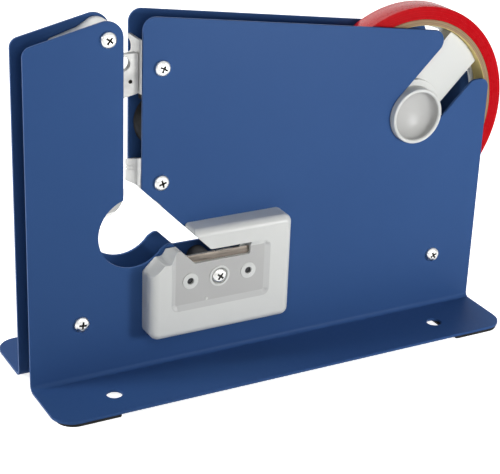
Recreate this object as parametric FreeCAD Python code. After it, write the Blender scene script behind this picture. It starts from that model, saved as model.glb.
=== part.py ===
"""Bag neck sealer: two bent side plates that hold a tape roll, a tape path, a sprung
presser lever and a trimming cutter, written as one STEP file for each piece.

Working axes: X runs along the plates from their left edge, Y runs from the outer face
of the front plate towards the rear plate, Z is the height above the top face of the
foot flanges. The pieces are shifted at the end, so that the origin is the middle of the
base. Sizes are in mm.
"""
import FreeCAD, Part
import math
import os

Vec = FreeCAD.Vector

# ---- Driving sizes: tape roll -------------------------------------------------------
TAPE_WIDTH = 10.0
TAPE_SIDE = 1.1                # room between the tape and each plate
CORE_INNER_R = 38.1
CORE_WALL = 2.6
TAPE_THICKNESS = 5.7           # wound tape on the core
WINDING_FIT = 0.02
CORE_FIT = 0.1
HUB_FIT = 0.06
HUB_RING = 2.6                 # wall around the spindle
ARM_COUNT = 4
ARM_WIDTH = 20.0
ARM_FRONT = 2.6                # from the tape's front face back to the arms
ARM_ROOT = 4.0                 # rounding between the arms and the rim
RIM_WALL = 1.3
RIM_WIDTH = 2.4
SPINDLE_R = 12.1
SPINDLE_CLEARANCE = 0.1
SPINDLE_PROUD = 2.8            # spindle end, beyond the plate's outer face
SPINDLE_WALL = 1.6
CUP_DEPTH = 7.0
CUP_DISH = 1.5                 # radius of the cup's dished floor, as a share of the spindle

# ---- Driving sizes: frame -----------------------------------------------------------
SHEET = 1.2                    # thickness of the side plates
PLATE_LENGTH = 211.7
BEND_RADIUS = 2.0              # inner radius of the foot bend
FLANGE_REACH = 30.3            # foot flange, from the plate's outer face to its edge
FLANGE_CORNER = 9.0
PAD_THICKNESS = 1.2
PAD_LENGTH = 24.9
PAD_WIDTH = 20.0
PAD_INSET = 1.6                # from the plate's end to the pad
PAD_CORNER = 1.0
FOOT_HOLE_R = 3.25
FOOT_HOLE_INSET = 29.0         # from the plate's end to the hole
FOOT_HOLE_REACH = 16.3         # from the plate's outer face to the hole

# Outline of the side plates
LEFT_TOP = 140.3               # top of the left edge
LEFT_RISE_DEG = 12.9           # the left section rises towards the neck slot
RIGHT_TOP = 148.1              # top of the right section, at the neck slot
RIGHT_FALL_DEG = 8.1           # the right section falls away from the neck slot
LEFT_CORNER = 4.0
MOUTH_LEFT_CORNER = 7.0
MOUTH_RIGHT_CORNER = 5.0

# Neck slot, keyhole and trim slot
SLOT_LEFT = 39.9               # left side of the neck slot
SLOT_WIDTH = 7.9
KEYHOLE_X = 44.5
KEYHOLE_Z = 60.7
KEYHOLE_R = 15.2
THROAT_SUM = 126.2             # the 45 degree throat edge lies on x + z = this
TRIM_BOTTOM = 46.0
TRIM_HEIGHT = 7.0
TRIM_END = 97.0
TRIM_LIP = 2.0                 # rounding where the hump and the throat meet the slot
HUMP_X = 60.3                  # guiding hump between keyhole and trim slot
HUMP_Z = 53.7
HUMP_FOOT_X = 52.0
HUMP_FOOT_Z = 48.9
HUMP_ROUND = 2.5

# Slanted slot that takes the tape spindle
SEAT_X = 174.2
SEAT_Z = 92.9
SEAT_LIP = 104.8               # height of the lip right of the slanted slot
LIP_CORNER = 4.0
SEAT_TOP_CORNER = 5.0

# ---- Driving sizes: fasteners and spacers -------------------------------------------
SPACER_R = 4.5
SCREW_R = 2.0                  # M4, with the thread drawn plain
SCREW_HOLE_R = 2.2
SCREW_TIP_GAP = 2.2            # left between two screws that meet in one spacer
HEAD_R = 3.3
HEAD_HEIGHT = 1.9
CROSS_WIDTH = 0.9
CROSS_LENGTH = 3.8
CROSS_DEPTH = 1.1
PIVOT_X, PIVOT_Z = 33.5, 140.6
LOWER_SCREW_INSET = 21.8       # from the plate's end to the lower screw
LOWER_SCREW_HEIGHT = 25.0

# ---- Driving sizes: tape guides, knife and roller -----------------------------------
GUIDE_PROUD = 0.3              # guides stand this far into the neck slot
GUIDE_WIDTH = 18.5
GUIDE_EDGE = 2.0               # rounding of the guides' front and hidden corners
UPPER_GUIDE_TOP = 138.2
GUIDE_SKIN = 1.2               # the upper guide's face runs on upwards this thin
UPPER_GUIDE_SHOULDER = 7.0     # from the guide's top down to its thick part
UPPER_GUIDE_BOTTOM = 117.0
UPPER_SCREW_X, UPPER_SCREW_Z = 55.8, 127.2
GUIDE_WALL = 4.0               # wall beside the neck slot that carries the knife
GUIDE_STEP = 123.5             # height of the underside behind that wall
GUIDE_HOLE_R = 2.6
GUIDE_HOLE_DROP = 4.5          # from the guide's top to the half-round notch
LOWER_GUIDE_TOP = 84.0
LOWER_GUIDE_SCREW_X, LOWER_GUIDE_SCREW_Z = 55.9, 80.3
TONGUE_PROUD = 1.4             # the lower guide's tongue stands this far into the slot
TONGUE_WIDTH = 3.0
TONGUE_TOP = 91.3              # at the front plate; the tongue falls towards the rear one
TONGUE_FALL = 4.3
TONGUE_BOTTOM = 80.2
TONGUE_BOTTOM_FALL = 2.3
GROOVE = 0.5
GROOVE_START = 3.3             # from the front plate to the grooves
GROOVE_DROP = 2.6              # from the tongue's top to the first groove
GROOVE_PITCH = 1.4
GROOVE_COUNT = 2
KNIFE_THICKNESS = 0.6
KNIFE_SIDE = 0.8               # room between the knife and each plate
KNIFE_TOP_GAP = 0.3            # between the knife's top and the guide's step
KNIFE_ROOT = 113.5
KNIFE_TOOTH = 1.6
KNIFE_TEETH = 8
KNIFE_SCREW_R = 1.0
KNIFE_HEAD_R = 1.9
KNIFE_HEAD_HEIGHT = 1.2
KNIFE_SCREW_LENGTH = 3.0
ROLLER_X, ROLLER_Z = 61.2, 102.5
ROLLER_R = 12.0
TYRE_THICKNESS = 2.5
ROLLER_PIN_R = 3.0
ROLLER_FIT = 0.05              # running clearance on a radius
ROLLER_PLAY = 0.3              # between the roller and its washers
WASHER_THICKNESS = 0.8
WASHER_R = 6.0
RIVET_SHOULDER = 0.8           # rivet neck, as a share of the pin
RIVET_HEAD = 1.25              # rivet head, as a share of the pin
RIVET_HEIGHT = 0.35
PIN_END_GAP = 0.2              # between a riveted pin's free end and the front plate

# ---- Driving sizes: presser lever ---------------------------------------------------
LEVER_SIDE = 0.4               # room between the lever and the rear plate
SPRING_ROOM = 3.4              # room between the lever and the front plate
LEVER_FIT = 0.05
PIVOT_SPACER_R = 3.5
LEVER_HUB_R = 5.8
LEVER_ARM = 7.0                # width of the hanging arm
LEVER_SLOT_SETBACK = 1.2       # the arm hangs this far left of the slot
NOSE_GAP = 0.3                 # left between the nose and the upper guide
NOSE_ROOM = 2.0                # room between the nose plate and the front plate
NOSE_THICKNESS = 2.5
NOSE_LAP = 5.0                 # the nose plate overlaps the arm this far
NOSE_TOP = 133.2
NOSE_BOTTOM = 117.2
NOSE_FALL_DEG = 12.0           # the nose's lower side falls away from the guide
NOSE_HOLE_X, NOSE_HOLE_Z = 41.1, 129.4
NOSE_HOLE_R = 2.9
NOSE_PIT_X, NOSE_PIT_Z = 44.0, 122.2
NOSE_PIT_R = 0.8
NOSE_PIT_DEPTH = 1.6
TAIL_END = 67.1
TAIL_RIGHT = 42.0              # the tail's rounded foot reaches under the slot
TAIL_ROUND = 9.0
TAIL_FOOT = 11.0               # height of that foot
TAIL_TAPER = 7.0               # from the foot up to the arm's full setback
TAB_REACH = 18.8               # finger tab, left of the pivot
TAB_THICKNESS = 4.0
TAB_LIFT = 4.6                 # the tab's upper side runs this far above the pivot
TAB_RISE_DEG = 17.2
TAB_KNEE = 7.2                 # from the pivot to where the tab bends up to the hub
SPRING_WIRE_R = 0.35
SPRING_BEND = 1.25             # radius of the wire's bends, as a share of the wire
SPRING_R = 4.6                 # centre line of the coil
SPRING_TURNS = 3
SPRING_PITCH = 1.9             # distance between turns, as a share of the wire's radius
SPRING_LEG = 17.0              # from the pivot down to the leg's end on the arm
SPRING_HOOK = 3.0              # length of that leg's end beside the arm
STOP_PIN_R = 2.0
STOP_GAP = 0.3
STOP_ALONG_TAB = 12.5

# ---- Driving sizes: trimming cutter -------------------------------------------------
HOUSING_LEFT = 48.2
HOUSING_RIGHT = 111.5
HOUSING_BOTTOM = 15.3
HOUSING_TOP = 61.2
HOUSING_DEPTH = 10.0
HOUSING_CORNER = 3.6
HOUSING_EDGE = 3.2             # rounding of the outer front edges
ARM_CORNER = 1.3               # rounding of the upper arm's pointed end
JAW_LOWER_RISE = 0.7           # lower jaw above the trim slot's lower side
JAW_UPPER_INSET = 0.6          # upper jaw below the trim slot's upper side
HOUSING_SLOT_END = 92.4
SHOULDER_Z = 43.5              # top of the left edge
STEP_LEFT, STEP_RIGHT = 53.6, 56.6
STEP_Z = 48.6
EAR_X, EAR_Z = 60.0, 54.1      # pointed ear that guides the neck onto the blade
EAR_ROUND = 1.4
EAR_FALL = 0.45                # the ear's back part falls towards the plate at this slope
EAR_FALL_START = 6.0           # distance from the plate where the fall starts
FLOOR_LEFT, FLOOR_RIGHT = 58.8, 98.9
FLOOR_BOTTOM = 29.4
FLOOR_DEPTH = 1.2
FLOOR_CORNER = 0.8
FLOOR_RIM = 2.2                # width of the sloping sides around the sunken floor
EAR_SINK = 5.0                 # the sunken floor runs out this far past the ear's point
CUTTER_SCREW_X, CUTTER_SCREW_Z = 78.5, 39.4
CUTTER_PIN_PITCH = 13.1
CUTTER_PIN_R = 1.5
CUTTER_PIN_SUNK = 0.6          # pins end this far below the sunken floor
BOSS_R = 3.4
SCREW_BOSS_R = 4.5
BOSS_HEIGHT = 0.3
HEAD_ROOM = 0.3
HEAD_SUNK = 0.8                # seat of the screw's head below the sunken floor
GATE_MARK_X, GATE_MARK_Z = 72.8, 30.3
GATE_MARK_R = 0.6
BLADE_THICKNESS = 0.5
BLADE_LEFT = 61.5
BLADE_BOTTOM = 31.0
BLADE_PROUD = 3.7              # cutting edge above the trim slot's lower side
BLADE_BEVEL = 1.4
BLADE_EDGE_LAND = 0.05
BACKING_THICKNESS = 6.9
POCKET_CLEARANCE = 0.15

# ---- Worked-out places --------------------------------------------------------------
PLATE_GAP = TAPE_WIDTH + 2 * TAPE_SIDE     # clear space between the two plates
PAD_BOTTOM = -SHEET - PAD_THICKNESS        # the table, below the flanges
REAR_INNER = SHEET + PLATE_GAP
REAR_FACE = REAR_INNER + SHEET             # outer face of the rear plate
MID_Y = REAR_FACE / 2
SLOT_RIGHT = SLOT_LEFT + SLOT_WIDTH
TRIM_TOP = TRIM_BOTTOM + TRIM_HEIGHT
GUIDE_FACE = SLOT_RIGHT - GUIDE_PROUD
GUIDE_RIGHT = GUIDE_FACE + GUIDE_WIDTH
TONGUE_FACE = SLOT_RIGHT - TONGUE_PROUD
KNIFE_X = GUIDE_FACE + GUIDE_WALL
KNIFE_TOP = GUIDE_STEP - KNIFE_TOP_GAP
KNIFE_SCREW_Z = (KNIFE_TOP + UPPER_GUIDE_BOTTOM) / 2
NOSE_FRONT = SHEET + NOSE_ROOM
LEVER_FRONT = SHEET + SPRING_ROOM
LEVER_BACK = REAR_INNER - LEVER_SIDE
ARM_RIGHT = SLOT_LEFT - LEVER_SLOT_SETBACK
ARM_LEFT = ARM_RIGHT - LEVER_ARM
BLADE_EDGE = TRIM_BOTTOM + BLADE_PROUD
POCKET_DEPTH = BLADE_THICKNESS + BACKING_THICKNESS
FLOOR_Y = FLOOR_DEPTH - HOUSING_DEPTH      # the sunken floor, in front of the plate
SEAT_Y = FLOOR_Y + HEAD_SUNK
JAW_BOTTOM = TRIM_BOTTOM + JAW_LOWER_RISE
JAW_TOP = TRIM_TOP - JAW_UPPER_INSET
SCREW_REACH = (PLATE_GAP - SCREW_TIP_GAP) / 2
SEAT_HALF = SPINDLE_R + SPINDLE_CLEARANCE
CORE_OUTER_R = CORE_INNER_R + CORE_WALL
WINDING_R = CORE_OUTER_R + TAPE_THICKNESS
TAPE_FRONT = MID_Y - TAPE_WIDTH / 2
TAPE_BACK = MID_Y + TAPE_WIDTH / 2
CUTTER_PINS = (CUTTER_SCREW_X - CUTTER_PIN_PITCH, CUTTER_SCREW_X + CUTTER_PIN_PITCH)
SPACER_PLACES = [
    (LOWER_SCREW_INSET, LOWER_SCREW_HEIGHT),
    (PLATE_LENGTH - LOWER_SCREW_INSET, LOWER_SCREW_HEIGHT),
    (CUTTER_SCREW_X, CUTTER_SCREW_Z),
]
GUIDE_PLACES = [
    (UPPER_SCREW_X, UPPER_SCREW_Z),
    (LOWER_GUIDE_SCREW_X, LOWER_GUIDE_SCREW_Z),
]
FRAME_SCREWS = [(PIVOT_X, PIVOT_Z)] + SPACER_PLACES[:2] + GUIDE_PLACES
DIAGONAL = math.sqrt(0.5)


# ---- Drawing helpers ----------------------------------------------------------------
def rounded_wire(corners, place):
    """Closed wire through (u, v, radius) corners, each one rounded by its radius."""
    count = len(corners)
    starts, arcs, ends = [], [], []
    for i, (u, v, radius) in enumerate(corners):
        here = Vec(u, v, 0)
        back = Vec(*corners[i - 1][:2], 0) - here
        ahead = Vec(*corners[(i + 1) % count][:2], 0) - here
        back.normalize()
        ahead.normalize()
        if radius == 0:
            starts.append(here)
            ends.append(here)
            arcs.append(None)
            continue
        half = back.getAngle(ahead) / 2
        middle = back + ahead
        middle.normalize()
        starts.append(here + back * (radius / math.tan(half)))
        ends.append(here + ahead * (radius / math.tan(half)))
        arcs.append(here + middle * (radius / math.sin(half) - radius))
    edges = []
    for i in range(count):
        if arcs[i]:
            edges.append(Part.Arc(place(starts[i]), place(arcs[i]), place(ends[i])).toShape())
        after = starts[(i + 1) % count]
        if ends[i].distanceToPoint(after) > 1e-6:
            edges.append(Part.LineSegment(place(ends[i]), place(after)).toShape())
    return Part.Wire(edges)


def side_prism(corners, y_from, y_to):
    """Solid from (x, z, radius) corners, between two places along Y."""
    wire = rounded_wire(corners, lambda p: Vec(p.x, y_from, p.y))
    return Part.Face(wire).extrude(Vec(0, y_to - y_from, 0))


def top_prism(corners, z_from, z_to):
    """Solid from (x, y, radius) corners, between two heights."""
    wire = rounded_wire(corners, lambda p: Vec(p.x, p.y, z_from))
    return Part.Face(wire).extrude(Vec(0, 0, z_to - z_from))


def end_prism(corners, x_from, x_to):
    """Solid from (y, z, radius) corners, between two places along X."""
    wire = rounded_wire(corners, lambda p: Vec(x_from, p.x, p.y))
    return Part.Face(wire).extrude(Vec(x_to - x_from, 0, 0))


def disc(x, z, radius, y_from, y_to):
    """Round bar along Y."""
    return Part.makeCylinder(radius, y_to - y_from, Vec(x, y_from, z), Vec(0, 1, 0))


def tube(x, z, outer, inner, y_from, y_to):
    """Hollow round bar along Y."""
    return disc(x, z, outer, y_from, y_to).cut(disc(x, z, inner, y_from, y_to))


def to_rear(shape):
    """The same piece on the rear plate, mirrored across the middle of the gap."""
    return shape.mirror(Vec(0, MID_Y, 0), Vec(0, 1, 0))


def along_diagonal(x, z, along, across):
    """Point reached from (x, z) by going up to the right and then up to the left."""
    return x + DIAGONAL * (along - across), z + DIAGONAL * (along + across)


# ---- Frame --------------------------------------------------------------------------
def right_top_height(x):
    """Height of the right section's top edge."""
    return RIGHT_TOP - (x - SLOT_RIGHT) * math.tan(math.radians(RIGHT_FALL_DEG))


def plate_outline():
    """Outer corners of a side plate, with the neck slot and the spindle slot open."""
    rise = math.tan(math.radians(LEFT_RISE_DEG))
    fall = math.tan(math.radians(RIGHT_FALL_DEG))
    upper_x, upper_z = along_diagonal(SEAT_X, SEAT_Z, -SEAT_HALF, SEAT_HALF)
    lower_x, lower_z = along_diagonal(SEAT_X, SEAT_Z, -SEAT_HALF, -SEAT_HALF)
    climb = (right_top_height(upper_x) - upper_z) / (1 + fall)
    lip = SEAT_LIP - lower_z
    return [
        (0, -SHEET, 0),
        (0, LEFT_TOP, LEFT_CORNER),
        (SLOT_LEFT, LEFT_TOP + SLOT_LEFT * rise, MOUTH_LEFT_CORNER),
        (SLOT_LEFT, KEYHOLE_Z, 0),
        (SLOT_RIGHT, KEYHOLE_Z, 0),
        (SLOT_RIGHT, RIGHT_TOP, MOUTH_RIGHT_CORNER),
        (upper_x + climb, upper_z + climb, SEAT_TOP_CORNER),
        (upper_x, upper_z, SEAT_HALF),
        (lower_x, lower_z, SEAT_HALF),
        (lower_x + lip, SEAT_LIP, LIP_CORNER),
        (PLATE_LENGTH, SEAT_LIP, LIP_CORNER),
        (PLATE_LENGTH, -SHEET, 0),
    ]


def throat_outline():
    """Opening that leads from the neck slot over the hump into the trim slot."""
    end_round = TRIM_HEIGHT / 2
    return [
        (SLOT_LEFT, KEYHOLE_Z, 0),
        (SLOT_LEFT, THROAT_SUM - SLOT_RIGHT, 0),
        (SLOT_RIGHT, THROAT_SUM - SLOT_RIGHT, 0),
        (THROAT_SUM - TRIM_TOP, TRIM_TOP, TRIM_LIP),
        (TRIM_END, TRIM_TOP, end_round),
        (TRIM_END, TRIM_BOTTOM, end_round),
        (HUMP_X + HUMP_Z - TRIM_BOTTOM, TRIM_BOTTOM, TRIM_LIP),
        (HUMP_X, HUMP_Z, HUMP_ROUND),
        (HUMP_FOOT_X, HUMP_FOOT_Z, 0),
    ]


def side_plate():
    """Front side plate with its foot flange, slots and screw holes."""
    outer = BEND_RADIUS + SHEET
    profile = [
        (-FLANGE_REACH, -SHEET, 0),
        (SHEET, -SHEET, outer),
        (SHEET, 2 * RIGHT_TOP, 0),
        (0, 2 * RIGHT_TOP, 0),
        (0, 0, BEND_RADIUS),
        (-FLANGE_REACH, 0, 0),
    ]
    plate = end_prism(profile, 0, PLATE_LENGTH)
    plate = plate.common(side_prism(plate_outline(), -FLANGE_REACH, SHEET))
    footprint = [
        (0, SHEET, 0),
        (0, -FLANGE_REACH, FLANGE_CORNER),
        (PLATE_LENGTH, -FLANGE_REACH, FLANGE_CORNER),
        (PLATE_LENGTH, SHEET, 0),
    ]
    plate = plate.common(top_prism(footprint, -SHEET, 2 * RIGHT_TOP))
    plate = plate.cut(side_prism(throat_outline(), 0, SHEET))
    plate = plate.cut(disc(KEYHOLE_X, KEYHOLE_Z, KEYHOLE_R, 0, SHEET))
    for x, z in FRAME_SCREWS + SPACER_PLACES[2:]:
        plate = plate.cut(disc(x, z, SCREW_HOLE_R, 0, SHEET))
    for x in (FOOT_HOLE_INSET, PLATE_LENGTH - FOOT_HOLE_INSET):
        hole = Part.makeCylinder(FOOT_HOLE_R, SHEET, Vec(x, -FOOT_HOLE_REACH, -SHEET))
        plate = plate.cut(hole)
    return plate


def rear_side_plate():
    """Rear plate: the front one mirrored, with a hole for each riveted pin."""
    plate = to_rear(side_plate())
    stop_x, stop_z = stop_pin_place()
    for x, z, radius in ((ROLLER_X, ROLLER_Z, ROLLER_PIN_R), (stop_x, stop_z, STOP_PIN_R)):
        plate = plate.cut(disc(x, z, radius * RIVET_SHOULDER, REAR_INNER, REAR_FACE))
    return plate


def foot_pads():
    """Four rubber pads under the ends of the two foot flanges."""
    pads = []
    for x in (PAD_INSET, PLATE_LENGTH - PAD_INSET - PAD_LENGTH):
        outline = [
            (x, PAD_WIDTH - FLANGE_REACH, PAD_CORNER),
            (x, -FLANGE_REACH, FLANGE_CORNER - PAD_INSET if x == PAD_INSET else PAD_CORNER),
            (x + PAD_LENGTH, -FLANGE_REACH,
             PAD_CORNER if x == PAD_INSET else FLANGE_CORNER - PAD_INSET),
            (x + PAD_LENGTH, PAD_WIDTH - FLANGE_REACH, PAD_CORNER),
        ]
        pad = top_prism(outline, PAD_BOTTOM, -SHEET)
        pads += [pad, to_rear(pad)]
    return Part.makeCompound(pads)


# ---- Fasteners ----------------------------------------------------------------------
def pan_head_screw(x, z, seat_y, reach):
    """Cross-recessed pan head screw that enters along +Y from its seat."""
    crown = disc(x, z, HEAD_R, seat_y - HEAD_HEIGHT, seat_y)
    crown = crown.makeFillet(HEAD_HEIGHT * 0.7, [front_rim(crown)])
    for length, width in ((CROSS_LENGTH, CROSS_WIDTH), (CROSS_WIDTH, CROSS_LENGTH)):
        corner = Vec(x - length / 2, seat_y - HEAD_HEIGHT, z - width / 2)
        crown = crown.cut(Part.makeBox(length, CROSS_DEPTH, width, corner))
    return crown.fuse(disc(x, z, SCREW_R, seat_y, seat_y + reach)).removeSplitter()


def front_rim(shape):
    """The round edge of a bar that lies furthest to the front."""
    rims = [edge for edge in shape.Edges if edge.BoundBox.YLength < 1e-6]
    return min(rims, key=lambda edge: edge.BoundBox.YMin)


def frame_screws():
    """One screw at each spacer and guide, seen on the front plate."""
    return [pan_head_screw(x, z, 0, SHEET + SCREW_REACH) for x, z in FRAME_SCREWS]


def front_screws():
    """Pan head screws of the front plate."""
    return Part.makeCompound(frame_screws())


def rear_screws():
    """Pan head screws of the rear plate, with one more behind the cutter."""
    behind_cutter = pan_head_screw(CUTTER_SCREW_X, CUTTER_SCREW_Z, 0, SHEET + SCREW_REACH)
    return Part.makeCompound([to_rear(screw) for screw in frame_screws() + [behind_cutter]])


def tapped_spacer(x, z, radius):
    """Round spacer between the plates, tapped all the way through."""
    return tube(x, z, radius, SCREW_R, SHEET, REAR_INNER)


def tap_guide(guide, x, z):
    """Tapped hole through a guide, for its screw on each side."""
    return guide.cut(disc(x, z, SCREW_R, SHEET, REAR_INNER))


def plate_spacers():
    """Spacers that hold the plates apart low down and behind the cutter."""
    return Part.makeCompound([tapped_spacer(x, z, SPACER_R) for x, z in SPACER_PLACES])


def lever_pivot_spacer():
    """Spacer that the presser lever turns on."""
    return tapped_spacer(PIVOT_X, PIVOT_Z, PIVOT_SPACER_R)


# ---- Tape guides, knife and roller --------------------------------------------------
def round_guide_edge(guide, face):
    """Round the upright front edge of a guide's face."""
    box = guide.BoundBox
    plan = [(face, SHEET, GUIDE_EDGE), (face, REAR_INNER, 0), (box.XMax, REAR_INNER, 0),
            (box.XMax, SHEET, 0)]
    return guide.common(top_prism(plan, box.ZMin, box.ZMax))


def upper_tape_guide():
    """Guide right of the neck slot, above the tape's way through."""
    shoulder = UPPER_GUIDE_TOP - UPPER_GUIDE_SHOULDER
    guide = side_prism([
        (GUIDE_FACE, UPPER_GUIDE_TOP, 0.2),
        (GUIDE_FACE + GUIDE_SKIN, UPPER_GUIDE_TOP, 0.2),
        (GUIDE_FACE + GUIDE_SKIN, shoulder, 1),
        (GUIDE_RIGHT, shoulder, GUIDE_EDGE),
        (GUIDE_RIGHT, GUIDE_STEP, GUIDE_EDGE),
        (KNIFE_X, GUIDE_STEP, 0),
        (KNIFE_X, UPPER_GUIDE_BOTTOM, 1),
        (GUIDE_FACE, UPPER_GUIDE_BOTTOM, 0.4),
    ], SHEET, REAR_INNER)
    guide = tap_guide(round_guide_edge(guide, GUIDE_FACE), UPPER_SCREW_X, UPPER_SCREW_Z)
    guide = guide.cut(Part.makeCylinder(
        GUIDE_HOLE_R, GUIDE_SKIN,
        Vec(GUIDE_FACE, REAR_INNER, UPPER_GUIDE_TOP - GUIDE_HOLE_DROP), Vec(1, 0, 0)))
    return guide.cut(knife_bolt(KNIFE_SCREW_R, KNIFE_X - KNIFE_SCREW_LENGTH, KNIFE_X))


def knife_bolt(radius, x_from, x_to):
    """Round bar along X, in line with the knife's screw."""
    return Part.makeCylinder(radius, x_to - x_from, Vec(x_from, MID_Y, KNIFE_SCREW_Z), Vec(1, 0, 0))


def tape_knife():
    """Toothed strip that cuts the tape, on the hidden side of the upper guide's wall."""
    left, right = SHEET + KNIFE_SIDE, REAR_INNER - KNIFE_SIDE
    pitch = (right - left) / KNIFE_TEETH
    outline = [(left, KNIFE_TOP, 0)]
    for tooth in range(KNIFE_TEETH):
        outline.append((left + tooth * pitch, KNIFE_ROOT, 0))
        outline.append((left + (tooth + 0.5) * pitch, KNIFE_ROOT - KNIFE_TOOTH, 0))
    outline += [(right, KNIFE_ROOT, 0), (right, KNIFE_TOP, 0)]
    knife = end_prism(outline, KNIFE_X, KNIFE_X + KNIFE_THICKNESS)
    return knife.cut(knife_bolt(KNIFE_SCREW_R, KNIFE_X, KNIFE_X + KNIFE_THICKNESS))


def knife_screw():
    """Small screw that holds the knife to the guide."""
    seat = KNIFE_X + KNIFE_THICKNESS
    head = knife_bolt(KNIFE_HEAD_R, seat, seat + KNIFE_HEAD_HEIGHT)
    slot = Part.makeBox(KNIFE_HEAD_HEIGHT / 2, 2 * KNIFE_HEAD_R, KNIFE_HEAD_HEIGHT / 3,
                        Vec(seat + KNIFE_HEAD_HEIGHT / 2, MID_Y - KNIFE_HEAD_R,
                            KNIFE_SCREW_Z - KNIFE_HEAD_HEIGHT / 6))
    shaft = knife_bolt(KNIFE_SCREW_R, KNIFE_X - KNIFE_SCREW_LENGTH, seat)
    return head.cut(slot).fuse(shaft).removeSplitter()


def tongue_height(y, at_front, fall):
    """Height of a line on the lower guide's tongue, which falls towards the rear."""
    return at_front - fall * (y - SHEET) / PLATE_GAP


def lower_tape_guide():
    """Guide below the tape's way through, cut along the throat, with a grooved tongue."""
    guide = side_prism([
        (GUIDE_FACE, LOWER_GUIDE_TOP, 0),
        (GUIDE_RIGHT, LOWER_GUIDE_TOP, GUIDE_EDGE),
        (GUIDE_RIGHT, THROAT_SUM - GUIDE_RIGHT, 1),
        (GUIDE_FACE, THROAT_SUM - GUIDE_FACE, 0),
    ], SHEET, REAR_INNER)
    tongue = end_prism([
        (SHEET, TONGUE_TOP, 0.4),
        (REAR_INNER, TONGUE_TOP - TONGUE_FALL, 0.4),
        (REAR_INNER, TONGUE_BOTTOM - TONGUE_BOTTOM_FALL, 0.4),
        (SHEET, TONGUE_BOTTOM, 0.4),
    ], TONGUE_FACE, TONGUE_FACE + TONGUE_WIDTH)
    guide = guide.fuse(round_guide_edge(tongue, TONGUE_FACE)).removeSplitter()
    start = SHEET + GROOVE_START
    for step in range(GROOVE_COUNT):
        top = TONGUE_TOP - GROOVE_DROP - step * GROOVE_PITCH
        ends = [(y, tongue_height(y, top, TONGUE_FALL)) for y in (start, REAR_INNER)]
        outline = [(y, z, 0) for y, z in ends] + [(y, z - GROOVE, 0) for y, z in reversed(ends)]
        guide = guide.cut(end_prism(outline, TONGUE_FACE, TONGUE_FACE + GROOVE))
    return tap_guide(guide, LOWER_GUIDE_SCREW_X, LOWER_GUIDE_SCREW_Z)


def roller_ring(outer, inner):
    """Ring as wide as the tape roller, about its axis."""
    side = WASHER_THICKNESS + ROLLER_PLAY
    return tube(ROLLER_X, ROLLER_Z, outer, inner, SHEET + side, REAR_INNER - side)


def roller_tyre():
    """Black rubber tyre that the tape runs over."""
    return roller_ring(ROLLER_R, ROLLER_R - TYRE_THICKNESS)


def roller_core():
    """Plastic core of the tape roller."""
    return roller_ring(ROLLER_R - TYRE_THICKNESS, ROLLER_PIN_R + ROLLER_FIT)


def rivet_pin(x, z, radius):
    """Pin that stands between the plates and is riveted through the rear one."""
    pin = disc(x, z, radius, SHEET + PIN_END_GAP, REAR_INNER)
    neck = disc(x, z, radius * RIVET_SHOULDER, REAR_INNER, REAR_FACE)
    head = disc(x, z, radius * RIVET_HEAD, REAR_FACE, REAR_FACE + radius * RIVET_HEIGHT)
    return pin.fuse(neck).fuse(head).removeSplitter()


def roller_pin():
    """Pin of the tape roller."""
    return rivet_pin(ROLLER_X, ROLLER_Z, ROLLER_PIN_R)


def roller_washers():
    """Thin washers on both sides of the tape roller."""
    washer = tube(ROLLER_X, ROLLER_Z, WASHER_R, ROLLER_PIN_R, SHEET, SHEET + WASHER_THICKNESS)
    washer = washer.cut(disc(ROLLER_X, ROLLER_Z, ROLLER_PIN_R + ROLLER_FIT, SHEET, REAR_INNER))
    return Part.makeCompound([washer, to_rear(washer)])


# ---- Presser lever ------------------------------------------------------------------
def tab_upside(x):
    """Height of the finger tab's upper side."""
    return PIVOT_Z + TAB_LIFT - (PIVOT_X - x) * math.tan(math.radians(TAB_RISE_DEG))


def tab_underside(x):
    """Height of the finger tab's lower side."""
    return tab_upside(x) - TAB_THICKNESS / math.cos(math.radians(TAB_RISE_DEG))


def stop_pin_place():
    """Centre of the pin that the finger tab rests on."""
    x = PIVOT_X - STOP_ALONG_TAB
    return x, tab_underside(x) - (STOP_PIN_R + STOP_GAP) / math.cos(math.radians(TAB_RISE_DEG))


def lever_nose():
    """Plate on the lever's arm that closes the neck slot, with a hole and a small pit."""
    left, right = ARM_RIGHT - NOSE_LAP, GUIDE_FACE - NOSE_GAP
    back = NOSE_FRONT + NOSE_THICKNESS
    fall = math.tan(math.radians(NOSE_FALL_DEG)) * (right - left)
    nose = side_prism([
        (left, NOSE_BOTTOM - fall, 0),
        (right, NOSE_BOTTOM, 0.3),
        (right, NOSE_TOP, 0.6),
        (left, NOSE_TOP, 0),
    ], NOSE_FRONT, back)
    nose = nose.cut(disc(NOSE_HOLE_X, NOSE_HOLE_Z, NOSE_HOLE_R, NOSE_FRONT, back))
    return nose.cut(disc(NOSE_PIT_X, NOSE_PIT_Z, NOSE_PIT_R, NOSE_FRONT,
                         NOSE_FRONT + NOSE_PIT_DEPTH))


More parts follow.
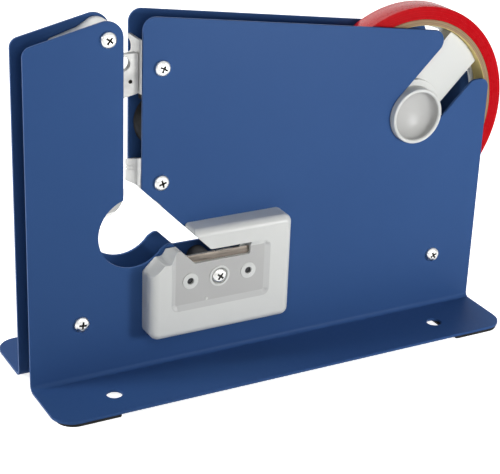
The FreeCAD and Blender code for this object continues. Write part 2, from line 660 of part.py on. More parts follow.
def presser_lever():
    """Sprung lever whose nose closes the neck slot and presses the tape together."""
    tab_end = PIVOT_X - TAB_REACH
    knee = PIVOT_X - TAB_KNEE
    body = side_prism([
        (tab_end, tab_underside(tab_end), 1.5),
        (ARM_LEFT, tab_underside(ARM_LEFT), 2),
        (ARM_LEFT, TAIL_END, 1),
        (TAIL_RIGHT, TAIL_END, TAIL_ROUND),
        (TAIL_RIGHT, TAIL_END + TAIL_FOOT, 2),
        (ARM_RIGHT, TAIL_END + TAIL_FOOT + TAIL_TAPER, 4),
        (ARM_RIGHT, PIVOT_Z, 0),
        (PIVOT_X - LEVER_HUB_R * 0.45, PIVOT_Z + LEVER_HUB_R * 0.88, 0),
        (knee, tab_upside(knee), 4),
        (tab_end, tab_upside(tab_end), 1.5),
    ], LEVER_FRONT, LEVER_BACK)
    body = body.fuse(disc(PIVOT_X, PIVOT_Z, LEVER_HUB_R, LEVER_FRONT, LEVER_BACK))
    body = body.cut(disc(PIVOT_X, PIVOT_Z, PIVOT_SPACER_R + LEVER_FIT, LEVER_FRONT, LEVER_BACK))
    return body.fuse(lever_nose()).removeSplitter()


def wire_leg(base, tip):
    """Straight piece of spring wire that starts in a bend."""
    leg = Part.makeCylinder(SPRING_WIRE_R, (tip - base).Length, base, tip - base)
    return leg.fuse(Part.makeSphere(SPRING_WIRE_R * SPRING_BEND, base))


def lever_spring():
    """Torsion spring before the hub, with a leg under the stop pin and one on the arm."""
    pitch = SPRING_PITCH * SPRING_WIRE_R
    first_y = SHEET + (SPRING_ROOM - (SPRING_TURNS - 1) * pitch) / 2
    last_y = first_y + (SPRING_TURNS - 1) * pitch
    spring = Part.makeTorus(SPRING_R, SPRING_WIRE_R, Vec(PIVOT_X, first_y, PIVOT_Z), Vec(0, 1, 0))
    for turn in range(1, SPRING_TURNS):
        centre = Vec(PIVOT_X, first_y + turn * pitch, PIVOT_Z)
        spring = spring.fuse(Part.makeTorus(SPRING_R, SPRING_WIRE_R, centre, Vec(0, 1, 0)))
    stop_x, stop_z = stop_pin_place()
    left = Vec(PIVOT_X - SPRING_R, first_y, PIVOT_Z)
    low = Vec(PIVOT_X, last_y, PIVOT_Z - SPRING_R)
    below_pin = Vec(stop_x, last_y, stop_z - STOP_PIN_R - SPRING_WIRE_R - STOP_GAP)
    at_arm = Vec(ARM_LEFT - SPRING_WIRE_R * SPRING_BEND, first_y, PIVOT_Z - SPRING_LEG)
    hook = Vec(at_arm.x, LEVER_FRONT + SPRING_HOOK, at_arm.z)
    for base, tip in ((left, at_arm), (at_arm, hook), (low, below_pin)):
        spring = spring.fuse(wire_leg(base, tip))
    return spring


def lever_stop_pin():
    """Pin under the finger tab that stops the lever in its closed place."""
    x, z = stop_pin_place()
    return rivet_pin(x, z, STOP_PIN_R)


# ---- Tape roll ----------------------------------------------------------------------
def tape_spindle():
    """Hollow spindle that drops into the slanted slots, with a cup at each end."""
    front, back = -SPINDLE_PROUD, REAR_FACE + SPINDLE_PROUD
    spindle = disc(SEAT_X, SEAT_Z, SPINDLE_R, front, back)
    cup = disc(SEAT_X, SEAT_Z, SPINDLE_R - SPINDLE_WALL, front - CUP_DEPTH, front + CUP_DEPTH)
    dish = SPINDLE_R * CUP_DISH
    cup = cup.common(Part.makeSphere(dish, Vec(SEAT_X, front + CUP_DEPTH - dish, SEAT_Z)))
    return spindle.cut(cup).cut(to_rear(cup))


def core_hub():
    """Wheel that fills the tape core: arms on a ring, joined by a thin rim at the back."""
    bore = SPINDLE_R + HUB_FIT
    ring = bore + HUB_RING
    rim = CORE_INNER_R - CORE_FIT
    arm_front = TAPE_FRONT + ARM_FRONT
    wheel = disc(SEAT_X, SEAT_Z, ring, TAPE_FRONT, TAPE_BACK)
    for count in range(ARM_COUNT // 2):
        bar = Part.makeBox(2 * rim, TAPE_BACK - arm_front, ARM_WIDTH,
                           Vec(SEAT_X - rim, arm_front, SEAT_Z - ARM_WIDTH / 2))
        turn = -45 - count * 360 / ARM_COUNT
        bar.rotate(Vec(SEAT_X, 0, SEAT_Z), Vec(0, 1, 0), turn)
        wheel = wheel.fuse(bar)
    wheel = wheel.common(disc(SEAT_X, SEAT_Z, rim, TAPE_FRONT, TAPE_BACK))
    wheel = wheel.fuse(tube(SEAT_X, SEAT_Z, rim, rim - RIM_WALL, TAPE_BACK - RIM_WIDTH, TAPE_BACK))
    return wheel.cut(disc(SEAT_X, SEAT_Z, bore, TAPE_FRONT, TAPE_BACK)).removeSplitter()


def tape_core():
    """Card core of the tape roll."""
    return tube(SEAT_X, SEAT_Z, CORE_OUTER_R, CORE_INNER_R, TAPE_FRONT, TAPE_BACK)


def tape_winding():
    """Wound tape on the core."""
    return tube(SEAT_X, SEAT_Z, WINDING_R, CORE_OUTER_R + WINDING_FIT, TAPE_FRONT, TAPE_BACK)


# ---- Trimming cutter ----------------------------------------------------------------
def housing_outline():
    """Outer corners of the cutter housing, open to the left along the trim slot."""
    return [
        (HOUSING_LEFT, HOUSING_BOTTOM, HOUSING_CORNER),
        (HOUSING_LEFT, SHOULDER_Z, 2),
        (STEP_LEFT, STEP_Z, 1),
        (STEP_RIGHT, STEP_Z, 2),
        (EAR_X, EAR_Z, EAR_ROUND),
        (EAR_X + EAR_Z - JAW_BOTTOM, JAW_BOTTOM, 0.8),
        (HOUSING_SLOT_END, JAW_BOTTOM, 0.8),
        (HOUSING_SLOT_END, JAW_TOP, 0.8),
        (THROAT_SUM - JAW_TOP, JAW_TOP, 1.5),
        (THROAT_SUM - HOUSING_TOP, HOUSING_TOP, ARM_CORNER),
        (HOUSING_RIGHT, HOUSING_TOP, HOUSING_CORNER),
        (HOUSING_RIGHT, HOUSING_BOTTOM, HOUSING_CORNER),
    ]


def ear_fall():
    """Wedge that is cut off the back part of the ear, so that it falls to the plate."""
    return end_prism([
        (-EAR_FALL_START, EAR_Z, 0),
        (0, EAR_Z, 0),
        (0, EAR_Z - EAR_FALL * EAR_FALL_START, 0),
    ], STEP_RIGHT, EAR_X + EAR_Z - JAW_BOTTOM)


def rounded_block():
    """Outer block of the housing, rounded all around its front."""
    block = side_prism([
        (HOUSING_LEFT, HOUSING_BOTTOM, HOUSING_CORNER),
        (HOUSING_LEFT, HOUSING_TOP, HOUSING_CORNER),
        (HOUSING_RIGHT, HOUSING_TOP, HOUSING_CORNER),
        (HOUSING_RIGHT, HOUSING_BOTTOM, HOUSING_CORNER),
    ], -HOUSING_DEPTH, 0)
    front = [edge for edge in block.Edges if edge.BoundBox.YMax < -HOUSING_DEPTH + 1e-3]
    return block.makeFillet(HOUSING_EDGE, front)


def cutter_housing():
    """White moulded block on the front plate that shields the trimming blade."""
    housing = side_prism(housing_outline(), -HOUSING_DEPTH, 0).common(rounded_block())
    housing = housing.cut(ear_fall()).cut(floor_recess())
    housing = housing.cut(side_prism(blade_pocket(POCKET_CLEARANCE), -POCKET_DEPTH, 0))
    housing = housing.cut(Part.makeBox(
        HOUSING_SLOT_END - BLADE_LEFT + 2 * POCKET_CLEARANCE, BLADE_THICKNESS,
        BLADE_EDGE - BLADE_BOTTOM + POCKET_CLEARANCE,
        Vec(BLADE_LEFT - POCKET_CLEARANCE, -POCKET_DEPTH, BLADE_BOTTOM)))
    for x in CUTTER_PINS:
        housing = housing.fuse(disc(x, CUTTER_SCREW_Z, BOSS_R, FLOOR_Y - BOSS_HEIGHT, FLOOR_Y))
        housing = housing.cut(disc(x, CUTTER_SCREW_Z, CUTTER_PIN_R, -HOUSING_DEPTH, 0))
    for x, z, radius in ((GATE_MARK_X, GATE_MARK_Z, GATE_MARK_R),
                         (CUTTER_SCREW_X, CUTTER_SCREW_Z, SCREW_BOSS_R)):
        housing = housing.fuse(disc(x, z, radius, FLOOR_Y - BOSS_HEIGHT, FLOOR_Y))
    housing = housing.cut(disc(CUTTER_SCREW_X, CUTTER_SCREW_Z, HEAD_R + HEAD_ROOM, -HOUSING_DEPTH,
                               SEAT_Y))
    housing = housing.cut(disc(CUTTER_SCREW_X, CUTTER_SCREW_Z, SCREW_HOLE_R, -HOUSING_DEPTH, 0))
    return housing.removeSplitter()


def floor_recess():
    """Sunken floor of the housing with sloping sides, which runs out over the ear."""
    def window(right, top, y, grow):
        corner = FLOOR_CORNER + grow
        corners = [
            (FLOOR_LEFT - grow, FLOOR_BOTTOM - grow, corner),
            (FLOOR_LEFT - grow, top + grow, corner),
            (right + grow, top + grow, corner),
            (right + grow, FLOOR_BOTTOM - grow, corner),
        ]
        return rounded_wire(corners, lambda p: Vec(p.x, y, p.y))

    def recess(right, top):
        wires = [window(right, top, FLOOR_Y, 0), window(right, top, -HOUSING_DEPTH, FLOOR_RIM)]
        return Part.makeLoft(wires, True, True)
    return recess(FLOOR_RIGHT, JAW_TOP - FLOOR_RIM).fuse(recess(EAR_X + EAR_SINK, EAR_Z + EAR_SINK))


def blade_pocket(grow):
    """Outline of the blade's backing, larger by grow at the sides and bottom."""
    return [
        (BLADE_LEFT - grow, BLADE_BOTTOM - grow, 0),
        (BLADE_LEFT - grow, JAW_BOTTOM, 0),
        (HOUSING_SLOT_END + grow, JAW_BOTTOM, 0),
        (HOUSING_SLOT_END + grow, BLADE_BOTTOM - grow, 0),
    ]


def trim_blade():
    """Steel blade across the lower part of the trim slot, ground on its front."""
    front, back = -POCKET_DEPTH, -BACKING_THICKNESS
    blade = Part.makeBox(HOUSING_SLOT_END - BLADE_LEFT, BLADE_THICKNESS, BLADE_EDGE - BLADE_BOTTOM,
                         Vec(BLADE_LEFT, front, BLADE_BOTTOM))
    ground = end_prism([
        (front, BLADE_EDGE, 0),
        (back - BLADE_EDGE_LAND, BLADE_EDGE, 0),
        (front, BLADE_EDGE - BLADE_BEVEL, 0),
    ], BLADE_LEFT, HOUSING_SLOT_END)
    return drill_cutter(blade.cut(ground), front, back)


def blade_backing_plate():
    """Block that clamps the blade into the housing against the front plate."""
    backing = side_prism(blade_pocket(0), -BACKING_THICKNESS, 0)
    return drill_cutter(backing, -BACKING_THICKNESS, 0)


def drill_cutter(shape, y_from, y_to):
    """Holes for the two pins and the screw that run through the cutter."""
    for x in CUTTER_PINS:
        shape = shape.cut(disc(x, CUTTER_SCREW_Z, CUTTER_PIN_R, y_from, y_to))
    return shape.cut(disc(CUTTER_SCREW_X, CUTTER_SCREW_Z, SCREW_HOLE_R, y_from, y_to))


def blade_pins():
    """Steel pins that locate the blade in the housing."""
    return Part.makeCompound([
        disc(x, CUTTER_SCREW_Z, CUTTER_PIN_R, FLOOR_Y + CUTTER_PIN_SUNK, 0) for x in CUTTER_PINS])


def housing_screw():
    """Screw that holds the housing to the front plate and the spacer behind it."""
    return pan_head_screw(CUTTER_SCREW_X, CUTTER_SCREW_Z, SEAT_Y, SHEET + SCREW_REACH - SEAT_Y)


# ---- All pieces ---------------------------------------------------------------------
NODES = {
    "front_side_plate": side_plate,
    "rear_side_plate": rear_side_plate,
    "foot_pads": foot_pads,
    "plate_spacers": plate_spacers,
    "lever_pivot_spacer": lever_pivot_spacer,
    "front_screws": front_screws,
    "rear_screws": rear_screws,
    "upper_tape_guide": upper_tape_guide,
    "tape_knife": tape_knife,
    "knife_screw": knife_screw,
    "lower_tape_guide": lower_tape_guide,
    "roller_pin": roller_pin,
    "roller_washers": roller_washers,
    "roller_core": roller_core,
    "roller_tyre": roller_tyre,
    "presser_lever": presser_lever,
    "lever_spring": lever_spring,
    "lever_stop_pin": lever_stop_pin,
    "tape_spindle": tape_spindle,
    "core_hub": core_hub,
    "tape_core": tape_core,
    "tape_winding": tape_winding,
    "cutter_housing": cutter_housing,
    "trim_blade": trim_blade,
    "blade_backing_plate": blade_backing_plate,
    "blade_pins": blade_pins,
    "housing_screw": housing_screw,
}


def main():
    """Build every piece, shift it to the origin and write its STEP file."""
    os.makedirs("parts", exist_ok=True)
    right_end = max(PLATE_LENGTH, SEAT_X + WINDING_R)
    to_origin = Vec(-right_end / 2, -MID_Y, -PAD_BOTTOM)
    for name, build in NODES.items():
        shape = build()
        shape.translate(to_origin)
        shape.exportStep("parts/%s.step" % name)
        box = shape.BoundBox
        print("%-20s solids %d valid %s volume %8.1f  x %.1f..%.1f y %.1f..%.1f z %.1f..%.1f" % (
            name, len(shape.Solids), shape.isValid(), shape.Volume,
            box.XMin, box.XMax, box.YMin, box.YMax, box.ZMin, box.ZMax))


main()
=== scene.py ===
"""Bag neck sealer: finishes, detail pieces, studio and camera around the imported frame.

Sizes in the classes are in millimetres, in the maker's axes: X along the plates from
their left edge, Y from the front plate's outer face to the rear, Z above the top face of
the foot flanges. Workshop.place turns them into metres in the frame of the part.
"""
import logging
import math
import random
from contextlib import contextmanager
from dataclasses import dataclass
from enum import Enum
from typing import Callable, Iterator, Sequence

import bmesh
import bpy
from mathutils import Matrix, Vector


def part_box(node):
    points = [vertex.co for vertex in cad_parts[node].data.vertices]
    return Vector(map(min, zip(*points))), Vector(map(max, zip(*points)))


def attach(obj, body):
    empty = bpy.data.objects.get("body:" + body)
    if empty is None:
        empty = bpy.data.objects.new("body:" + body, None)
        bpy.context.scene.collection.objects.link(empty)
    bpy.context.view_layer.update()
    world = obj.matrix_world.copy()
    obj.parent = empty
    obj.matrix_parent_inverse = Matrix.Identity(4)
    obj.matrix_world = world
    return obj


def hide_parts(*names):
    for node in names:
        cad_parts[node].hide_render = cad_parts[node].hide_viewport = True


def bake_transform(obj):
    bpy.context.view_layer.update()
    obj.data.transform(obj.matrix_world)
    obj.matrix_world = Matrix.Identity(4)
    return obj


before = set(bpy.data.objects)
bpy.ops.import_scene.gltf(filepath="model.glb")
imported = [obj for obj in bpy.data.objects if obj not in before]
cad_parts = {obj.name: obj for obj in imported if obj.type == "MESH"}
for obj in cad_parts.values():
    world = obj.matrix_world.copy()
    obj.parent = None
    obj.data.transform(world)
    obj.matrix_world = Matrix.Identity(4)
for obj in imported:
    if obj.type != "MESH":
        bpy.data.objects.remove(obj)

logger = logging.getLogger("bag_neck_sealer")

MM = 0.001
ORIGIN_X, ORIGIN_Y, ORIGIN_Z = 110.3, 7.3, -2.4

CAD_DOUBLES = 2e-6              # metres: nearer points of a CAD mesh are one point
SPUN_DOUBLES = 1e-6             # metres: the same in a turned piece
SAME_SPOT = 1e-7                # metres: how exactly the ends of a profile are found
IN_PLANE = math.radians(0.2)    # faces that turn less than this lie in one plane
SMOOTH_MARGIN = 8.0             # degrees: shading stays smooth this far past the rounding
NORMAL_WEIGHT = 80              # how much large faces count in the shading
COARSER = 4                     # the gloss has spots this many times larger than the relief
TINT_OCTAVES, GLOSS_OCTAVES, RELIEF_OCTAVES = 5, 3, 2

Colour = tuple[float, float, float]
Profile = Sequence[tuple[float, float]]


class Body(Enum):
    """Bodies that pieces ride on."""

    FRAME = "frame"
    LEVER = "presser_lever"
    ROLLER = "guide_roller"
    SPINDLE = "tape_spindle"
    ROLL = "tape_roll"


class Slot(Enum):
    """Material slots of the record."""

    PAINT = "blue_paint"
    SCREW = "zinc_screws"
    STEEL = "bright_steel"
    BLADE = "blade_steel"
    CAST = "cast_grey"
    WHITE = "white_plastic"
    RUBBER = "black_rubber"
    BLACK = "black_plastic"
    CARD = "tan_card"
    TAPE = "red_tape"


# ---- Materials ----------------------------------------------------------------------
class Graph:
    """Node graph of one material, with the few nodes that the finishes share."""

    def __init__(self, name: str) -> None:
        """Make an empty material with a shader.

        Args:
            name: Name of the material.
        """
        self.material = bpy.data.materials.new(name)
        self.material.use_nodes = True
        self.tree = self.material.node_tree
        self.shader = self.tree.nodes["Principled BSDF"]
        self.coordinates = self.tree.nodes.new("ShaderNodeTexCoord").outputs["Object"]

    def add(self, kind: str, **settings: object) -> bpy.types.Node:
        """Add a node.

        Args:
            kind: Type of the node.
            settings: Attributes of the node.

        Returns:
            The new node.
        """
        node = self.tree.nodes.new(kind)
        for key, value in settings.items():
            setattr(node, key, value)
        return node

    def feed(self, socket: bpy.types.NodeSocket, source: object) -> None:
        """Give a socket a link or a constant.

        Args:
            socket: The input socket.
            source: An output socket, or a value.
        """
        if isinstance(source, bpy.types.NodeSocket):
            self.tree.links.new(source, socket)
        else:
            socket.default_value = source

    def set(self, name: str, source: object) -> None:
        """Feed an input of the shader by its name."""
        self.feed(self.shader.inputs[name], source)

    def stretched(self, scale: Sequence[float]) -> bpy.types.NodeSocket:
        """Stretch the object coordinates.

        Args:
            scale: Scale of each axis.

        Returns:
            The stretched coordinates.
        """
        mapping = self.add("ShaderNodeMapping")
        self.feed(mapping.inputs["Vector"], self.coordinates)
        mapping.inputs["Scale"].default_value = scale
        return mapping.outputs["Vector"]

    def noise(self, scale: float, detail: float = 4.0,
              stretch: Sequence[float] = (1.0, 1.0, 1.0)) -> bpy.types.NodeSocket:
        """Noise over the object.

        Args:
            scale: Cells in a metre.
            detail: Octaves of finer noise.
            stretch: Scale of each axis, for streaks.

        Returns:
            The noise, around one half.
        """
        node = self.add("ShaderNodeTexNoise")
        self.feed(node.inputs["Vector"], self.stretched(stretch))
        node.inputs["Scale"].default_value = scale
        node.inputs["Detail"].default_value = detail
        return node.outputs["Fac"]

    def span(self, source: bpy.types.NodeSocket, low: float, high: float,
             start: float = 0.3, end: float = 0.7) -> bpy.types.NodeSocket:
        """Map a value to a range.

        Args:
            source: The value.
            low: Result at start.
            high: Result at end.
            start: Lower end of the value.
            end: Upper end of the value.

        Returns:
            The mapped value, held within the range.
        """
        node = self.add("ShaderNodeMapRange", clamp=True)
        for name, value in (("Value", source), ("From Min", start), ("From Max", end),
                            ("To Min", low), ("To Max", high)):
            self.feed(node.inputs[name], value)
        return node.outputs["Result"]

    def math(self, operation: str, first: object, second: object) -> bpy.types.NodeSocket:
        """Work out a sum, a product, a comparison or the like.

        Args:
            operation: Name of the operation.
            first: A value or an output socket.
            second: A value or an output socket.

        Returns:
            The result.
        """
        node = self.add("ShaderNodeMath", operation=operation)
        self.feed(node.inputs[0], first)
        self.feed(node.inputs[1], second)
        return node.outputs[0]

    def blend(self, share: object, first: object, second: object) -> bpy.types.NodeSocket:
        """Mix two colours.

        Args:
            share: Share of the second colour.
            first: A colour or an output socket.
            second: A colour or an output socket.

        Returns:
            The mixed colour.
        """
        node = self.add("ShaderNodeMix", data_type="RGBA")
        self.feed(node.inputs[0], share)
        for socket, value in ((node.inputs[6], first), (node.inputs[7], second)):
            self.feed(socket, (*value, 1.0) if isinstance(value, tuple) else value)
        return node.outputs[2]

    def bump(self, height: bpy.types.NodeSocket, depth: float) -> None:
        """Bump the shader's normal.

        Args:
            height: The height, from 0 to 1.
            depth: Depth of the bump in millimetres.
        """
        node = self.add("ShaderNodeBump")
        node.inputs["Strength"].default_value = 1.0
        node.inputs["Distance"].default_value = depth * MM
        self.feed(node.inputs["Height"], height)
        self.set("Normal", node.outputs["Normal"])

    def radius_about(self, centre: Vector) -> bpy.types.NodeSocket:
        """Distance from an axis along Y.

        Args:
            centre: A point on the axis, in metres.

        Returns:
            The distance in metres.
        """
        shift = self.add("ShaderNodeVectorMath", operation="SUBTRACT")
        self.feed(shift.inputs[0], self.coordinates)
        shift.inputs[1].default_value = centre
        flat = self.add("ShaderNodeVectorMath", operation="MULTIPLY")
        self.feed(flat.inputs[0], shift.outputs[0])
        flat.inputs[1].default_value = (1.0, 0.0, 1.0)
        length = self.add("ShaderNodeVectorMath", operation="LENGTH")
        self.feed(length.inputs[0], flat.outputs[0])
        return length.outputs["Value"]


@dataclass(frozen=True)
class Finish:
    """A surface: a base colour with variation, gloss and a fine relief.

    Attributes:
        name: Name of the material.
        colour: Base colour.
        shade: The colour that the base wanders to.
        roughness: Range of the roughness.
        mottle: Cells of the colour's variation in a metre.
        grain: Cells of the relief in a metre.
        relief: Depth of the relief in millimetres.
        metallic: Share of metal.
        specular: Level of the mirror reflection.
        stretch: Scale of each axis, for streaks.
    """

    name: str
    colour: Colour
    shade: Colour
    roughness: tuple[float, float] = (0.4, 0.5)
    mottle: float = 40.0
    grain: float = 1500.0
    relief: float = 0.01
    metallic: float = 0.0
    specular: float = 0.5
    stretch: tuple[float, float, float] = (1.0, 1.0, 1.0)

    def material(self) -> bpy.types.Material:
        """The material of this finish, made once.

        Returns:
            The material.
        """
        known = bpy.data.materials.get(self.name)
        if known:
            return known
        graph = Graph(self.name)
        graph.set("Base Color", self.tint(graph))
        spots = graph.noise(self.grain / COARSER, GLOSS_OCTAVES, self.stretch)
        graph.set("Roughness", graph.span(spots, *self.roughness))
        graph.set("Metallic", self.metallic)
        self.polish(graph)
        graph.bump(self.height(graph), self.relief)
        return graph.material

    def tint(self, graph: Graph) -> bpy.types.NodeSocket:
        """Colour that wanders between the base and the shade."""
        spots = graph.noise(self.mottle, TINT_OCTAVES, self.stretch)
        return graph.blend(graph.span(spots, 0.0, 1.0), self.colour, self.shade)

    def height(self, graph: Graph) -> bpy.types.NodeSocket:
        """Fine relief of the surface."""
        return graph.noise(self.grain, RELIEF_OCTAVES, self.stretch)

    def polish(self, graph: Graph) -> None:
        """Give the surface its mirror reflection, the same all over."""
        graph.set("Specular IOR Level", self.specular)


@dataclass(frozen=True)
class WoundFinish(Finish):
    """Film wound in thin layers, seen as rings on its sides, with a glossy outside."""

    centre: tuple[float, float, float] = (0.0, 0.0, 0.0)
    layer: float = 0.32
    ring_octaves: float = 3.0
    outside: float = 46.2
    outer_specular: float = 0.9
    outer_coat: float = 0.1
    coat_roughness: float = 0.08

    def within(self, graph: Graph, radius: float) -> bpy.types.NodeSocket:
        """One within a radius in millimetres about the axis, and zero beyond it."""
        return graph.math("LESS_THAN", graph.radius_about(Vector(self.centre)), radius * MM)

    def rings(self, graph: Graph) -> bpy.types.NodeSocket:
        """Layers by their distance from the axis, broken up by noise.

        Args:
            graph: Node graph of the material.

        Returns:
            A value that changes from layer to layer.
        """
        away = graph.radius_about(Vector(self.centre))
        node = graph.add("ShaderNodeTexNoise", noise_dimensions="1D")
        graph.feed(node.inputs["W"], graph.math("MULTIPLY", away, 1 / (self.layer * MM)))
        node.inputs["Scale"].default_value = 1.0
        node.inputs["Detail"].default_value = self.ring_octaves
        return node.outputs["Fac"]

    def tint(self, graph: Graph) -> bpy.types.NodeSocket:
        """Darker and lighter layers on the sides, plain film on the outside.

        Args:
            graph: Node graph of the material.

        Returns:
            The colour.
        """
        layers = graph.span(self.rings(graph), 0.0, 1.0)
        share = graph.math("MULTIPLY", layers, self.within(graph, self.outside))
        return graph.blend(share, self.colour, self.shade)

    def height(self, graph: Graph) -> bpy.types.NodeSocket:
        """Edges of the layers."""
        return graph.math("MULTIPLY", self.rings(graph), self.within(graph, self.outside))

    def polish(self, graph: Graph) -> None:
        """Give the sides their reflection, and the film on the outside a stronger one.

        Args:
            graph: Node graph of the material.
        """
        for name, side, outer in (("Specular IOR Level", self.specular, self.outer_specular),
                                  ("Coat Weight", 0.0, self.outer_coat)):
            inside = self.within(graph, self.outside)
            graph.set(name, graph.span(inside, outer, side, 0.0, 1.0))
        graph.set("Coat Roughness", self.coat_roughness)


@dataclass(frozen=True)
class CardFinish(WoundFinish):
    """Wound card core with a smooth pale lining."""

    lining: Colour = (0.70, 0.56, 0.22)
    lining_radius: float = 38.35

    def tint(self, graph: Graph) -> bpy.types.NodeSocket:
        """Layered card edge, and the lining's colour inside."""
        edge = graph.blend(graph.span(self.rings(graph), 0.0, 1.0), self.colour, self.shade)
        return graph.blend(self.within(graph, self.lining_radius), edge, self.lining)


@dataclass(frozen=True)
class GroundFinish(Finish):
    """Ground steel with streaks along X and a few dark marks."""

    streaks: float = 60.0
    streak_stretch: tuple[float, float, float] = (1.0, 14.0, 14.0)
    streak_octaves: float = 6
    streak_limits: tuple[float, float] = (0.35, 0.62)
    marks: float = 150.0
    mark_stretch: tuple[float, float, float] = (0.6, 9.0, 9.0)
    mark_octaves: float = 3
    mark_limits: tuple[float, float] = (0.60, 0.72)
    mark_share: float = 0.85
    mark_colour: Colour = (0.03, 0.025, 0.02)

    def tint(self, graph: Graph) -> bpy.types.NodeSocket:
        """Streaks of the colour and the shade, with darker marks between.

        Args:
            graph: Node graph of the material.

        Returns:
            The colour.
        """
        noise = graph.noise(self.streaks, self.streak_octaves, self.streak_stretch)
        streaks = graph.span(noise, 0.0, 1.0, *self.streak_limits)
        steel = graph.blend(streaks, self.colour, self.shade)
        noise = graph.noise(self.marks, self.mark_octaves, self.mark_stretch)
        marks = graph.span(noise, 0.0, self.mark_share, *self.mark_limits)
        return graph.blend(marks, steel, self.mark_colour)


# Each has its name, colour, shade, roughness, mottle, grain and relief in this order.
# Painted shade: near-black colour for the screws' cross recesses and the lever's pit, where
# shade falls.
PAINTED_RECESS_SHADE = Finish("painted recess shade", (0.045, 0.040, 0.034), (0.020, 0.018, 0.016),
                     (0.5, 0.7), 300.0, 1500.0, 0.02, metallic=0.3)
# Painted shade: a darker copy of the moulded white for the window's sloping sides, chosen by
# which way they face.
SLOPE_SHADE_WHITE = Finish("moulded white, painted slope shade", (0.57, 0.575, 0.565), (0.54, 0.545, 0.535),
                     (0.30, 0.36), 14.0, 900.0, 0.004, specular=0.35)
# Painted shade: a darker copy of the moulded white for the spindle's cups and the window's
# floor.
SHADED_WHITE = Finish("moulded white, painted shade", (0.50, 0.50, 0.49), (0.47, 0.47, 0.46),
                   (0.30, 0.36), 14.0, 900.0, 0.004, specular=0.35)


def finishes(roll_centre: Vector) -> dict[Slot, Finish]:
    """The finish of each material slot.

    Args:
        roll_centre: Centre of the tape roll, in metres.

    Returns:
        Finishes by slot.
    """
    centre = tuple(roll_centre)
    return {
        Slot.PAINT: Finish("blue powder coat", (0.037, 0.093, 0.250), (0.033, 0.084, 0.232),
                           (0.36, 0.46), 9.0, 2600.0, 0.012, specular=0.06),
        Slot.SCREW: Finish("zinc plate", (0.80, 0.80, 0.78), (0.62, 0.62, 0.60),
                           (0.20, 0.34), 220.0, 1800.0, 0.01, metallic=1.0),
        Slot.STEEL: Finish("drawn steel", (0.62, 0.62, 0.61), (0.45, 0.45, 0.45),
                           (0.24, 0.40), 160.0, 1800.0, 0.01, metallic=1.0,
                           stretch=(1.0, 0.06, 1.0)),
        Slot.BLADE: GroundFinish("ground steel", (0.18, 0.15, 0.12), (0.075, 0.062, 0.05),
                                 (0.32, 0.48), 60.0, 1500.0, 0.012, metallic=0.4,
                                 stretch=(1.0, 10.0, 10.0)),
        # Galvanised grey, partly its own tone and partly painted light that makes up for the
        # shade the front plate throws on the guides.
        Slot.CAST: Finish("galvanised sheet", (0.80, 0.80, 0.77), (0.62, 0.62, 0.61),
                          (0.34, 0.50), 170.0, 700.0, 0.02, metallic=0.5),
        Slot.WHITE: Finish("moulded white", (0.69, 0.70, 0.68), (0.66, 0.67, 0.65),
                           (0.30, 0.36), 14.0, 900.0, 0.004, specular=0.35),
        Slot.RUBBER: Finish("black rubber", (0.012, 0.012, 0.012), (0.02, 0.02, 0.02),
                            (0.6, 0.75), 90.0, 1800.0, 0.04, specular=0.15),
        Slot.BLACK: Finish("black moulding", (0.010, 0.010, 0.011), (0.016, 0.016, 0.016),
                           (0.4, 0.5), 60.0, 1500.0, 0.02, specular=0.15),
        Slot.CARD: CardFinish("wound card", (0.36, 0.24, 0.13), (0.24, 0.16, 0.09),
                              (0.55, 0.7), 90.0, 1500.0, 0.08, specular=0.25, centre=centre,
                              layer=0.4),
        Slot.TAPE: WoundFinish("red film", (0.56, 0.006, 0.011), (0.42, 0.003, 0.007),
                               (0.22, 0.34), 60.0, 1500.0, 0.05, specular=0.03, centre=centre),
    }


